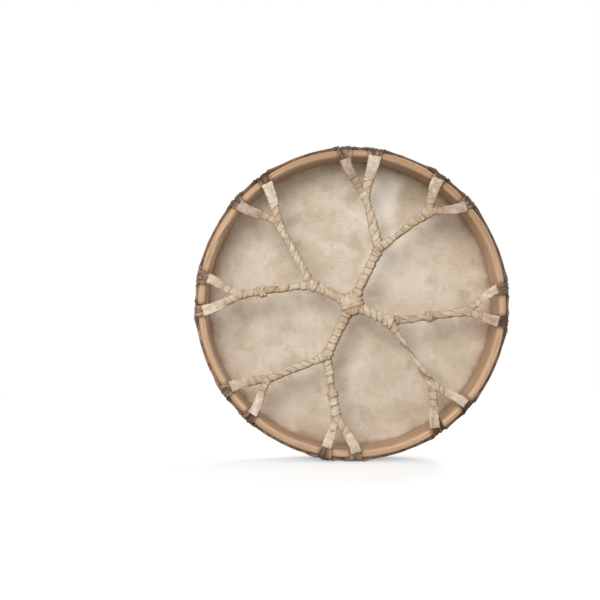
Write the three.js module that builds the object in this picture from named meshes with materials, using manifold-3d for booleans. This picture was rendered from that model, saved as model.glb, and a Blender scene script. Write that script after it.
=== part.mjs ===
// A rawhide frame drum, 400 mm across and about 60 mm deep: a bent wooden hoop, a hide head whose
// tabs fold over the hoop's back rim, and a rawhide lacing from the tabs to a hand grip in the middle.
// Millimetres, +Z up. The drum stands on its rim, and its axis is Y: the playing face looks along
// -Y, and the laced back along +Y. The origin is the centre of the playing face.
// The lacing is laid out in (u, z), where u runs to the right for someone looking at the back, so
// x = -u. Angles are in degrees, counter-clockwise from +u in that view.
// A radius r is measured from the drum's axis.
import * as THREE from "three";
import { mergeVertices } from "three/addons/utils/BufferGeometryUtils.js";
import Module from "manifold-3d";

const { degToRad, lerp, smoothstep } = THREE.MathUtils;

// ---- hoop ----
const HOOP_INNER_R = 188.6;
const HOOP_OUTER_R = 197.8;
const HOOP_FRONT_Y = 1.8; // crest of the bearing edge
const HOOP_BACK_Y = 58.4;
const AROUND = 80; // facets round the hoop and the head

// ---- head ----
const HIDE = 1.3; // thickness of the hide
const CREST_R = 190.2; // the head leaves its flat here and rolls over the bearing edge
const SHOULDER_Y = 9.4; // the roll ends and the skirt begins
const ROLL_STEPS = 5;
const SKIRT_OUTER_R = 199.6;
const SKIRT_INNER_R = SKIRT_OUTER_R - HIDE;
const SKIRT_EDGE_Y = 45; // free edge of the skirt between the tabs

// ---- tabs ----
const TAB_GAP = 0.4; // clearance between the hoop's back rim and a tab
const TAB_Y = HOOP_BACK_Y + TAB_GAP; // front face of the part of a tab that lies on the back rim
const TAB_BACK_Y = TAB_Y + HIDE;
const TAB_WIDTH = 18;
const TAB_END_R = 179.6;
const TAB_OVERLAP = 1; // the flat part of a tab runs this far into the hide of the skirt
const SLIT_R = [183.2, 185.9]; // the slit in each tab, inside the hoop
const SLIT_WIDTH = 12.6;
const SLIT_OVERCUT = 1; // the slit's cutter stands this far out of each face of the tab

// The gathered hide outside the hoop that runs up to a tab. It starts almost flush with the skirt.
const GATHER_OUTER_R = 203;
const GATHER_SKIN = 0.15; // inset from the skirt's inner face, and height where the gather starts
const GATHER_INNER_R = SKIRT_INNER_R + GATHER_SKIN;
// Sections of a gather from front to back: y, outer radius, width.
const GATHER_SECTIONS = [
  [22, SKIRT_OUTER_R + GATHER_SKIN, 6],
  [46, GATHER_OUTER_R, TAB_WIDTH],
  [TAB_BACK_Y, GATHER_OUTER_R - 0.9, TAB_WIDTH],
];

// ---- lacing ----
const LACE_Y = 54; // middle plane of the lacing
const STRAND_WIDTH = 2.6; // a lace strand where it is bound in a spoke
const STRAND_THICK = 2.2;
const STRAND_OFFSET = 1.5; // from a spoke's centre line to each of its two strands
const LEG_WIDTH = 11.6; // a lace where it is flat, at its tab
const LEG_THICK = 1.6;
const LEG_START_R = 174.8;
const LEG_START_Y = TAB_Y - 0.6;
const LEG_STEPS = 7;
const LEG_TAPER = 0.8; // exponent of the narrowing; below 1 a leg narrows sooner near its tab
const BEND_REACH = 16; // a spoke's curve starts and ends this far from its merge
const BEND_STEPS = 5;

// The eight spokes. Columns: angle of tab a, angle of tab b (tab a is further counter-clockwise);
// u and z of the junction, where the spoke's two legs come together; and the height of its strands
// above the lacing's middle plane. Spokes k and k + 4 share their strands. The two spokes of an arm
// lie one on the other, and crossing arms lie in two pairs, so that nothing meets at the centre.
const SPOKES = [
  [92.8, 81.4, 16.6, 142, -4.0],
  [55.2, 41.3, 101, 120.5, -1.4],
  [5.7, -6.8, 150, -9.2, 1.4],
  [-41.5, -55.8, 104.4, -106.2, 4.0],
  [-88.7, -100.2, -19, -150, -4.0],
  [-132.4, -145.6, -111.5, -98.5, -1.4],
  [182.4, 169.9, -148.6, 11, 1.4],
  [138.6, 125.4, -97, 107.5, 4.0],
].map(([a, b, u, z, level]) => ({
  tabs: { a, b },
  junction: new THREE.Vector2(u, z),
  y: LACE_Y + level,
}));
const CROSSINGS = SPOKES.length / 2; // spoke k runs on through the centre as spoke k + CROSSINGS

// Where two spokes run together into one arm of the grip, (u, z). Arms 1 and 3 are in line, and so
// are 2 and 4.
const MERGES = [
  [34.6, 71.0],
  [47.4, -22.4],
  [-32.4, -66.5],
  [-52.4, 24.8],
].map(([u, z]) => new THREE.Vector2(u, z));
const CENTRE = new THREE.Vector2(0, 0);

// The closed end of a lace, round the lip of a tab. Both outlines are (r, y from TAB_Y).
const LOOP_OUTLINE = [
  [172.5, -1.6],
  [181, -1.9],
  [184.6, -1.9],
  [SLIT_R[1] - 0.5, -1.1],
  [SLIT_R[1] - 0.5, HIDE + 1.2],
  [184.6, HIDE + 2.0],
  [180, HIDE + 2.0],
  [175, 1.0],
  [172.5, -0.2],
];
const LOOP_HOLE = [
  [178.4, -0.5],
  [178.9, HIDE + 0.2],
  [179.6, HIDE + 0.5],
  [SLIT_R[0] + 0.5, HIDE + 0.5],
  [SLIT_R[0] + 0.5, -0.5],
];

// ---- bindings ----
const CHANNEL = 0.36; // clearance of a binding round the strands it holds

const SPOKE_HALF_WIDTH = 5.0;
const SPOKE_HALF_THICK = 3.5;
const SPOKE_START = 20; // distance from the merge to the binding's inner end
const SPOKE_END_GAP = 3; // distance from the binding's outer end to the junction
const SPOKE_STEPS = 9;
const SPOKE_SIDES = 10;

const ARM_HALF_WIDTH = 6.4;
const ARM_HALF_THICK = 5.4;
const ARM_GRIP_GAP = 1.2;
const ARM_STEPS = 5;
const ARM_SIDES = 12;
const BRANCH_STATIONS = [-3, 6, 12, 19]; // distances from the merge towards a junction
const BRANCH_END_EXTRA = 0.4; // extra half thickness over the spoke's, where a branch ends

const GRIP_R = 19;
const GRIP_HALF_THICK = 7.6;
const GRIP_FACETS = 24;
// Grip outline: fraction of GRIP_R, fraction of GRIP_HALF_THICK from the middle plane.
const GRIP_OUTLINE = [
  [0, -1],
  [0.62, -1],
  [0.9, -0.72],
  [1, -0.3],
  [1, 0.3],
  [0.9, 0.72],
  [0.62, 1],
  [0, 1],
];

// The windings thicken and thin along their length by the sum of two waves: depth as a fraction
// of the size, rate in radians over the whole length, and the share of the seed in the phase.
const SWELL_WAVES = [
  { depth: 0.1, rate: 9.5, seedShare: 1 },
  { depth: 0.06, rate: 23, seedShare: 2.3 },
];
const SPOKE_THICK_SWELL = 0.1; // share of the swell that a spoke binding's thickness takes
const ARM_SWELL = 0.05; // share of the swell that an arm takes in both directions

// ---- materials ----
const matt = (color, roughness) =>
  new THREE.MeshStandardMaterial({ color, roughness, metalness: 0 });

const MATERIALS = {
  wood: matt(0xc89a68, 0.55),
  hide: matt(0xbba98f, 0.7),
  lace: matt(0xdccbae, 0.65),
  binding: matt(0xc8b18d, 0.7),
};

// ---- solids ----
const wasm = await Module();
wasm.setup();

function solid(geometry) {
  // Seams weld only when position is the sole attribute.
  geometry.deleteAttribute("normal");
  geometry.deleteAttribute("uv");
  const merged = mergeVertices(geometry, 1e-4);
  return new wasm.Manifold(
    new wasm.Mesh({
      numProp: 3,
      vertProperties: new Float32Array(merged.attributes.position.array),
      triVerts: new Uint32Array(merged.index.array),
    }),
  );
}

function geometryOf(body) {
  const mesh = body.getMesh();
  const geometry = new THREE.BufferGeometry();
  const positions = new Float32Array(mesh.vertProperties);
  geometry.setAttribute("position", new THREE.BufferAttribute(positions, 3));
  geometry.setIndex(new THREE.BufferAttribute(new Uint32Array(mesh.triVerts), 1));
  geometry.computeVertexNormals();
  return geometry;
}

const union = (bodies) => bodies.reduce((sum, next) => sum.add(next));

const vectors = (rows) => rows.map(([x, y]) => new THREE.Vector2(x, y));

// Turns an outline of (r, y) rows about the drum's axis.
const turned = (rows, facets) => solid(new THREE.LatheGeometry(vectors(rows), facets));

// ---- layout helpers ----
const world = (u, z, y) => new THREE.Vector3(-u, y, z);

function onCircle(degrees, r, y) {
  const angle = degToRad(degrees);
  return world(r * Math.cos(angle), r * Math.sin(angle), y);
}

// The point a distance from one (u, z) point towards another; a negative distance goes away from it.
const towards = (from, to, distance) => from.clone().add(to.clone().sub(from).setLength(distance));

// Calls at(s) for s from 0 to 1 in equal steps, both ends included.
const stations = (steps, at) => Array.from({ length: steps + 1 }, (_, i) => at(i / steps));

// Moves a geometry to a tab: local x is radial (outwards), y the drum's axis, z tangential.
function solidAtTab(degrees, geometry) {
  const out = onCircle(degrees, 1, 0);
  const axis = new THREE.Vector3(0, 1, 0);
  const frame = new THREE.Matrix4().makeBasis(out, axis, out.clone().cross(axis));
  return solid(geometry.applyMatrix4(frame));
}

function boxAtTab(degrees, [r0, r1], [y0, y1], width) {
  const box = new THREE.BoxGeometry(r1 - r0, y1 - y0, width);
  box.translate((r0 + r1) / 2, (y0 + y1) / 2, 0);
  return solidAtTab(degrees, box);
}

// ---- sweeps ----
// A run is a list of {point, width, thick}: the section at each point of a path. The width lies in
// the plane of the lacing. The bar to bend is 1 long on z, from -0.5 to 0.5, and its section
// reaches 1 from its axis on x and y. Grow adds to every side of the section and to both ends.
function sweep(bar, run, grow = 0) {
  const last = run.length - 1;
  const axis = new THREE.Vector3(0, 1, 0);
  const frames = run.map(({ point }, i) => {
    const ahead = run[Math.min(i + 1, last)].point.clone().sub(point).normalize();
    const behind = point.clone().sub(run[Math.max(i - 1, 0)].point).normalize();
    const tangent = ahead.add(behind).normalize();
    const side = axis.clone().cross(tangent).normalize();
    return { tangent, side, up: tangent.clone().cross(side) };
  });
  const position = bar.getAttribute("position");
  const vertex = new THREE.Vector3();
  for (let i = 0; i < position.count; i++) {
    const { x, y, z } = vertex.fromBufferAttribute(position, i);
    const k = Math.round((z + 0.5) * last);
    const { point, width, thick } = run[k];
    const { side, up, tangent } = frames[k];
    const end = k === 0 ? -grow : k === last ? grow : 0;
    vertex
      .copy(point)
      .addScaledVector(side, x * (width / 2 + grow))
      .addScaledVector(up, y * (thick / 2 + grow))
      .addScaledVector(tangent, end);
    position.setXYZ(i, vertex.x, vertex.y, vertex.z);
  }
  return solid(bar);
}

const sweepBox = (run, grow) =>
  sweep(new THREE.BoxGeometry(2, 2, 1, 1, 1, run.length - 1), run, grow);

function sweepRound(run, sides) {
  const bar = new THREE.CylinderGeometry(1, 1, 1, sides, run.length - 1);
  return sweep(bar.rotateX(Math.PI / 2), run);
}

// ---- hoop ----
// The quarter roll from the crest to the shoulder, without its first point. Rows of (r, y).
const rollTo = (r, frontY) =>
  stations(ROLL_STEPS, (s) => {
    const angle = s * (Math.PI / 2);
    return [
      CREST_R + (r - CREST_R) * Math.sin(angle),
      SHOULDER_Y - (SHOULDER_Y - frontY) * Math.cos(angle),
    ];
  }).slice(1);

function hoop() {
  const start = [HOOP_INNER_R, HOOP_FRONT_Y + 1.6];
  const outline = [
    start,
    [CREST_R, HOOP_FRONT_Y],
    ...rollTo(HOOP_OUTER_R, HOOP_FRONT_Y),
    [HOOP_OUTER_R, HOOP_BACK_Y - 2.2],
    [HOOP_OUTER_R - 0.8, HOOP_BACK_Y - 0.7],
    [HOOP_OUTER_R - 2.4, HOOP_BACK_Y],
    [HOOP_INNER_R + 2.0, HOOP_BACK_Y],
    [HOOP_INNER_R + 0.6, HOOP_BACK_Y - 0.6],
    [HOOP_INNER_R, HOOP_BACK_Y - 2.0],
    start,
  ];
  return turned(outline, AROUND);
}

// ---- head ----
function membrane() {
  const outline = [
    [0, 0],
    [CREST_R, 0],
    ...rollTo(SKIRT_OUTER_R, 0),
    [SKIRT_OUTER_R, SKIRT_EDGE_Y],
    [SKIRT_INNER_R, SKIRT_EDGE_Y],
    ...rollTo(SKIRT_INNER_R, HIDE).reverse(),
    [CREST_R, HIDE],
    [0, HIDE],
  ];
  return turned(outline, AROUND);
}

function gatherAt(degrees) {
  const spans = GATHER_SECTIONS.length - 1;
  const box = new THREE.BoxGeometry(1, 1, 1, 1, spans, 1);
  const position = box.getAttribute("position");
  for (let i = 0; i < position.count; i++) {
    const [y, outerR, width] = GATHER_SECTIONS[Math.round((position.getY(i) + 0.5) * spans)];
    const r = position.getX(i) > 0 ? outerR : GATHER_INNER_R;
    position.setXYZ(i, r, y, position.getZ(i) * width);
  }
  return solidAtTab(degrees, box);
}

function drumhead() {
  const parts = [membrane()];
  const slits = [];
  const flatR = [TAB_END_R, SKIRT_INNER_R + TAB_OVERLAP];
  const slitY = [TAB_Y - SLIT_OVERCUT, TAB_BACK_Y + SLIT_OVERCUT];
  for (const { tabs } of SPOKES)
    for (const degrees of [tabs.a, tabs.b]) {
      parts.push(gatherAt(degrees), boxAtTab(degrees, flatR, [TAB_Y, TAB_BACK_Y], TAB_WIDTH));
      slits.push(boxAtTab(degrees, SLIT_R, slitY, SLIT_WIDTH));
    }
  return union(parts).subtract(union(slits));
}

// ---- lacing ----
// A spoke's centre line in (u, z), from the junction of its legs, round the merge, to the centre.
function spokeLine(k) {
  const { junction } = SPOKES[k];
  const merge = MERGES[k >> 1];
  const from = towards(merge, junction, BEND_REACH);
  const to = towards(merge, CENTRE, BEND_REACH);
  const bend = new THREE.QuadraticBezierCurve(from, merge, to);
  return [
    junction,
    junction.clone().lerp(from, 0.5),
    ...stations(BEND_STEPS, (s) => bend.getPoint(s)),
    to.clone().multiplyScalar(0.5),
    CENTRE,
  ];
}

// On a line that runs to the centre, a positive distance is to the clockwise side.
function offsetLine(points, distance) {
  return points.map((point, i) => {
    const before = points[Math.max(i - 1, 0)];
    const after = points[Math.min(i + 1, points.length - 1)];
    const along = after.clone().sub(before).normalize();
    return point.clone().add(new THREE.Vector2(-along.y, along.x).multiplyScalar(distance));
  });
}

// Half of a lace pass, from its tab to the drum's centre. Tab b's strand is the clockwise one.
function halfPass(k, tab) {
  const { tabs, y } = SPOKES[k];
  const line = offsetLine(spokeLine(k), tab === "b" ? STRAND_OFFSET : -STRAND_OFFSET);
  const strand = line.map((point) => ({
    point: world(point.x, point.y, y),
    width: STRAND_WIDTH,
    thick: STRAND_THICK,
  }));
  const legStart = onCircle(tabs[tab], LEG_START_R, LEG_START_Y);
  const leg = stations(LEG_STEPS, (s) => {
    const point = legStart.clone().lerp(strand[0].point, s);
    point.y = lerp(LEG_START_Y, y, smoothstep(s, 0, 1));
    return {
      point,
      width: lerp(LEG_WIDTH, STRAND_WIDTH, Math.pow(s, LEG_TAPER)),
      thick: lerp(LEG_THICK, STRAND_THICK, s),
    };
  });
  leg.pop(); // the strand starts at this point
  return [...leg, ...strand];
}

function loopAt(degrees) {
  const points = (rows) => vectors(rows.map(([r, y]) => [r, TAB_Y + y]));
  const shape = new THREE.Shape(points(LOOP_OUTLINE));
  shape.holes.push(new THREE.Path(points(LOOP_HOLE)));
  const slab = new THREE.ExtrudeGeometry(shape, {
    depth: LEG_WIDTH,
    bevelEnabled: false,
    steps: 1,
  });
  slab.translate(0, 0, -LEG_WIDTH / 2);
  return solidAtTab(degrees, slab);
}

function lacePass(k, tab) {
  const other = k + CROSSINGS;
  // Crossing the centre swaps the sides: tab a's strand comes out as the opposite spoke's tab b's.
  const otherTab = tab === "a" ? "b" : "a";
  const far = halfPass(other, otherTab);
  far.pop(); // the near half already ends at the centre
  const run = [...halfPass(k, tab), ...far.reverse()];
  return {
    k,
    body: union([
      sweepBox(run),
      loopAt(SPOKES[k].tabs[tab]),
      loopAt(SPOKES[other].tabs[otherTab]),
    ]),
    channel: sweepBox(run, CHANNEL),
  };
}

const passes = [];
for (let k = 0; k < CROSSINGS; k++) passes.push(lacePass(k, "a"), lacePass(k, "b"));

// ---- bindings ----
// The room that the strands of the given spokes take up in a binding.
function channelsOf(spokes) {
  const held = passes.filter(({ k }) => spokes.some((spoke) => spoke % CROSSINGS === k));
  return union(held.map(({ channel }) => channel));
}

const swell = (s, seed) =>
  SWELL_WAVES.reduce(
    (sum, { depth, rate, seedShare }) => sum + depth * Math.sin(rate * s + seedShare * seed),
    1,
  );

// A station of a binding, centred on a (u, z) point.
const bindingStation = (centre, y, halfWidth, halfThick) => ({
  point: world(centre.x, centre.y, y),
  width: 2 * halfWidth,
  thick: 2 * halfThick,
});

function spokeBinding(k) {
  const { junction, y } = SPOKES[k];
  const merge = MERGES[k >> 1];
  const end = junction.distanceTo(merge) - SPOKE_END_GAP;
  const run = stations(SPOKE_STEPS, (s) => {
    const centre = towards(merge, junction, lerp(SPOKE_START, end, s));
    const full = swell(s, k);
    const slight = lerp(1, full, SPOKE_THICK_SWELL);
    return bindingStation(centre, y, SPOKE_HALF_WIDTH * full, SPOKE_HALF_THICK * slight);
  });
  return sweepRound(run, SPOKE_SIDES).subtract(channelsOf([k]));
}

// From the grip out to the merge.
function armTrunk(arm, y) {
  const merge = MERGES[arm];
  const run = stations(ARM_STEPS, (s) => {
    const centre = towards(CENTRE, merge, lerp(GRIP_R + ARM_GRIP_GAP, merge.length(), s));
    const slight = lerp(1, swell(s, arm + MERGES.length), ARM_SWELL);
    return bindingStation(centre, y, ARM_HALF_WIDTH * slight, ARM_HALF_THICK * slight);
  });
  return sweepRound(run, ARM_SIDES);
}

// From the merge out along one of the arm's two spokes.
function armBranch(arm, armY, spoke) {
  const first = BRANCH_STATIONS[0];
  const length = BRANCH_STATIONS.at(-1) - first;
  const run = BRANCH_STATIONS.map((distance) => {
    const s = (distance - first) / length;
    return bindingStation(
      towards(MERGES[arm], spoke.junction, distance),
      lerp(armY, spoke.y, s),
      lerp(ARM_HALF_WIDTH, SPOKE_HALF_WIDTH, s),
      lerp(ARM_HALF_THICK, SPOKE_HALF_THICK + BRANCH_END_EXTRA, s),
    );
  });
  return sweepRound(run, ARM_SIDES);
}

function armBinding(arm) {
  const pair = [2 * arm, 2 * arm + 1];
  const y = (SPOKES[pair[0]].y + SPOKES[pair[1]].y) / 2;
  const branches = pair.map((k) => armBranch(arm, y, SPOKES[k]));
  return union([armTrunk(arm, y), ...branches]).subtract(channelsOf(pair));
}

function gripBinding() {
  const outline = GRIP_OUTLINE.map(([r, y]) => [r * GRIP_R, LACE_Y + y * GRIP_HALF_THICK]);
  return turned(outline, GRIP_FACETS).subtract(channelsOf([0, 1, 2, 3]));
}

// ---- scene graph ----
const group = new THREE.Group();
group.name = "frame_drum";

function place(name, body, material) {
  const mesh = new THREE.Mesh(geometryOf(body), material);
  mesh.name = name;
  group.add(mesh);
}

const { wood, hide, lace, binding } = MATERIALS;
place("hoop", hoop(), wood);
place("drumhead", drumhead(), hide);
passes.forEach(({ body }, i) => place(`lace_pass_${i + 1}`, body, lace));
SPOKES.forEach((_, k) => place(`spoke_binding_${k + 1}`, spokeBinding(k), binding));
MERGES.forEach((_, arm) => place(`arm_binding_${arm + 1}`, armBinding(arm), binding));
place("grip_binding", gripBinding(), binding);

export default group;
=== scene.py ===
import math
from collections import namedtuple

import bpy
import numpy as np
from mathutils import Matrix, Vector


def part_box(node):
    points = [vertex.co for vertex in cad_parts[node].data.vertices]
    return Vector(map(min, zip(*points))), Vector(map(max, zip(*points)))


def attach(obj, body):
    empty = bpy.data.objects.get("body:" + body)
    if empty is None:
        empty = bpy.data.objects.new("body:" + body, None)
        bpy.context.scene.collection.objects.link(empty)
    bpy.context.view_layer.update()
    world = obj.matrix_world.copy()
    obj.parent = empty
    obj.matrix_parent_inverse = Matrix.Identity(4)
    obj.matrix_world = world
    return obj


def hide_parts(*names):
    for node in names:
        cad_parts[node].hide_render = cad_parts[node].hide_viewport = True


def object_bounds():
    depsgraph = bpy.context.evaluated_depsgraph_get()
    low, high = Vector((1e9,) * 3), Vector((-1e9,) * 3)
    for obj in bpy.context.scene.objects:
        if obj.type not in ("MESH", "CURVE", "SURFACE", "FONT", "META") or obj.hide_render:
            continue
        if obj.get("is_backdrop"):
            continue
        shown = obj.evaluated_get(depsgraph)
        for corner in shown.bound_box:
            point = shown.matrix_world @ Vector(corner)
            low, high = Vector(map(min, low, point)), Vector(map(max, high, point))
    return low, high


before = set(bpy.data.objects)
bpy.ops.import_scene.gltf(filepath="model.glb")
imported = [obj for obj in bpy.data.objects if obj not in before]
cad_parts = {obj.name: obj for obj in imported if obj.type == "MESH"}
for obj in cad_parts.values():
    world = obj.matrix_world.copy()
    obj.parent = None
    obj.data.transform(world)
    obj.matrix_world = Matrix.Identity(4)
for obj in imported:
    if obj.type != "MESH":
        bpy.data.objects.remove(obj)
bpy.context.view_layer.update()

TAU = math.tau
MM = 0.001

# ---- sizes, from the CAD boxes ----
hoop_low, hoop_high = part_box("hoop")
_, head_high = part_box("drumhead")
grip_low, grip_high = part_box("grip_binding")
HOOP_R = (hoop_high.x - hoop_low.x) / 2 * 1000  # outside of the wooden hoop
WALL = 9.2
HOOP_IN = HOOP_R - WALL
HOOP_MID = 193.0  # radius at which lengths round the hoop are taken
HOOP_Y0 = hoop_low.y * 1000
HOOP_Y1 = hoop_high.y * 1000
SCARF = math.radians(160)  # where the bent strip's ends overlap, as an angle in (u, z)
SKIRT_R = HOOP_R + 1.8
HIDE = 1.2  # thickness of the hide
TAB_TOP = head_high.y * 1000 + 0.1  # back face of the tabs
CREST_R = 190.2  # where the head starts to turn over the hoop
SHOULDER = 9.4  # y at which that turn ends
LACE_Y = (grip_low.y + grip_high.y) / 2 * 1000
LEG_LOW = HOOP_Y1 - 1.1  # y at which a strap leaves the rim
GRIP_R = (grip_high.x - grip_low.x) / 2 * 1000

# Every spoke forks into two legs. Leg a of spoke k is LEGS[k] and its leg b is LEGS[k + 8].
# angle: of the tab, in degrees in (u, z). end: radius where the strap ends on its tab.
# width: of the strap there. half: half-width of the tab. proud: how far the tab stands off the
# skirt. tint: the tab's brown, 0 deep and 1 paler. tone: brownness of the strap. ruffle: how
# ruffled its edges are. wound: share of the leg that is wound. turned: how far the strap has
# turned from straight inwards to its own run where it leaves the rim.
Leg = namedtuple("Leg", "angle end width half proud tint tone ruffle wound turned")
LEGS = [Leg(*row) for row in (
    (92.8, 185.5, 14.0, 11.2, 0.75, 0.55, 0.72, 0.12, 0.66, 0.55),
    (55.2, 194.0, 15.4, 9.6, 1.10, 0.30, 0.24, 0.12, 0.60, 0.45),
    (5.7, 186.5, 12.0, 9.0, 0.70, 0.52, 0.13, 1.00, 0.30, 0.50),
    (-41.5, 193.3, 12.4, 8.8, 0.50, 0.00, 0.20, 0.12, 0.42, 0.45),
    (-88.7, 190.6, 14.2, 9.8, 0.70, 1.00, 0.26, 0.45, 0.50, 0.50),
    (-132.4, 190.0, 13.0, 9.8, 0.80, 0.20, 0.10, 0.12, 0.50, 0.50),
    (182.4, 191.0, 14.6, 9.4, 0.90, 0.40, 0.00, 0.50, 0.40, 0.50),
    (138.6, 192.0, 13.6, 10.2, 1.00, 0.50, 0.50, 0.12, 0.60, 0.50),
    (81.4, 191.0, 16.6, 10.8, 0.90, 0.55, 0.14, 0.12, 0.48, 0.75),
    (41.3, 192.0, 13.4, 10.0, 1.05, 0.46, 0.46, 0.12, 0.66, 0.60),
    (-6.8, 189.0, 14.0, 9.8, 0.95, 0.20, 0.42, 0.12, 0.50, 0.50),
    (-55.8, 190.8, 13.2, 9.4, 0.55, 0.00, 0.33, 0.12, 0.60, 1.00),
    (-100.2, 187.0, 14.0, 10.4, 0.95, 0.36, 0.04, 0.12, 0.46, 0.60),
    (-145.6, 188.0, 14.4, 9.8, 1.00, 0.60, 0.35, 0.70, 0.60, 0.50),
    (169.9, 187.5, 13.0, 10.2, 0.70, 0.80, 0.15, 0.12, 0.60, 0.50),
    (125.4, 189.0, 15.0, 9.2, 0.85, 0.10, 0.05, 0.12, 0.50, 0.50))]
LEG_SIDE = np.repeat([1, -1], 8)  # which way round the outer side of the pair lies

# Spokes. junction: where the legs meet, in (u, z). level: y from LACE_Y. pitch: advance of the
# strip in one turn. starts: strips side by side. hand, skew, groove, tone: of the winding.
# widths: its half-widths from the merge to the junction. knot: its place there as a share.
Spoke = namedtuple("Spoke", "junction level pitch starts hand skew groove tone widths knot")
SPOKES = [Spoke(*row) for row in (
    ((16.6, 142), -4.0, 12.5, 1, 1, 0.25, 0, 0.05, (6.2, 5.8, 6.6, 5.6, 4.9, 5.2, 7.0), None),
    ((101, 120.5), -1.4, 10.5, 1, -1, 0.30, 0, 0.04, (5.6, 4.4, 4.2, 4.4, 5.4, 7.4, 9.0), None),
    ((150, -9.2), 1.4, 34.0, 2, 1, 0.20, 0.5, 0.20, (5.6, 4.7, 4.6, 5.0, 4.8, 5.2, 7.0), 0.47),
    ((104.4, -106.2), 4.0, 84.0, 2, -1, 0.10, 1.0, 0.14, (5.2, 4.2, 3.1, 3.0, 4.1, 5.3, 6.8), None),
    ((-19, -150), -4.0, 13.0, 1, -1, 0.25, 0, 0.0, (5.4, 5.0, 5.5, 4.9, 5.4, 6.0, 7.4), 0.55),
    ((-111.5, -98.5), -1.4, 11.0, 1, 1, 0.30, 0, 0.1, (5.4, 4.7, 4.9, 5.2, 4.8, 5.5, 7.2), None),
    ((-148.6, 11), 1.4, 30.0, 2, -1, 0.20, 0.4, 0.05, (5.4, 4.7, 4.4, 4.8, 5.2, 5.6, 7.0), 0.62),
    ((-97, 107.5), 4.0, 12.0, 1, 1, 0.25, 0, 0.0, (5.0, 4.5, 4.8, 5.2, 5.0, 6.2, 8.0), None))]
# Where each pair of spokes merges into an arm, in (u, z).
MERGES = [(34.6, 71.0), (47.4, -22.4), (-32.4, -66.5), (-52.4, 24.8)]


def place(u, z, y):
    """Points (x, y, z) from plan positions and heights."""
    u, z, y = np.broadcast_arrays(u, z, y)
    return np.stack([-u, y, z], -1).astype(float)


# ---- seeded noise and small maths ----
_lattices = {}


def lattice(seed, count=4096):
    if (seed, count) not in _lattices:
        _lattices[(seed, count)] = np.random.RandomState(seed).uniform(-1, 1, count)
    return _lattices[(seed, count)]


def cell(x):
    """Whole part of x, and its fraction eased."""
    whole = np.floor(x).astype(int)
    part = x - whole
    return whole, part * part * (3 - 2 * part)


def noise1(x, seed, period=4096):
    """Smooth noise of one number, -1 to 1."""
    i, part = cell(np.asarray(x, float))
    values = lattice(seed)
    return values[np.mod(i, period)] * (1 - part) + values[np.mod(i + 1, period)] * part


def noise2(x, y, seed):
    """Smooth noise of two numbers, -1 to 1."""
    x, y = np.broadcast_arrays(np.asarray(x, float), np.asarray(y, float))
    i, part_x = cell(x)
    j, part_y = cell(y)
    values = lattice(seed, 65536)

    def row(j):
        first = values[(i * 7919 + j * 104729) % 65536]
        return first * (1 - part_x) + values[((i + 1) * 7919 + j * 104729) % 65536] * part_x

    return row(j) * (1 - part_y) + row(j + 1) * part_y


def smooth(x, start, stop):
    part = np.clip((np.asarray(x, float) - start) / (stop - start), 0, 1)
    return part * part * (3 - 2 * part)


def bell(x):
    return np.exp(-x ** 2)


def unit(vectors):
    vectors = np.asarray(vectors, float)
    return vectors / np.maximum(np.linalg.norm(vectors, axis=-1, keepdims=True), 1e-12)


def lengths_along(points):
    steps = np.linalg.norm(np.diff(points, axis=0), axis=1)
    return np.concatenate([[0], np.cumsum(steps)])


def offset_round(degrees, centre, radius):
    """Signed distance round a circle from a centre angle."""
    return ((degrees - centre + 180) % 360 - 180) / 360 * TAU * radius


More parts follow.
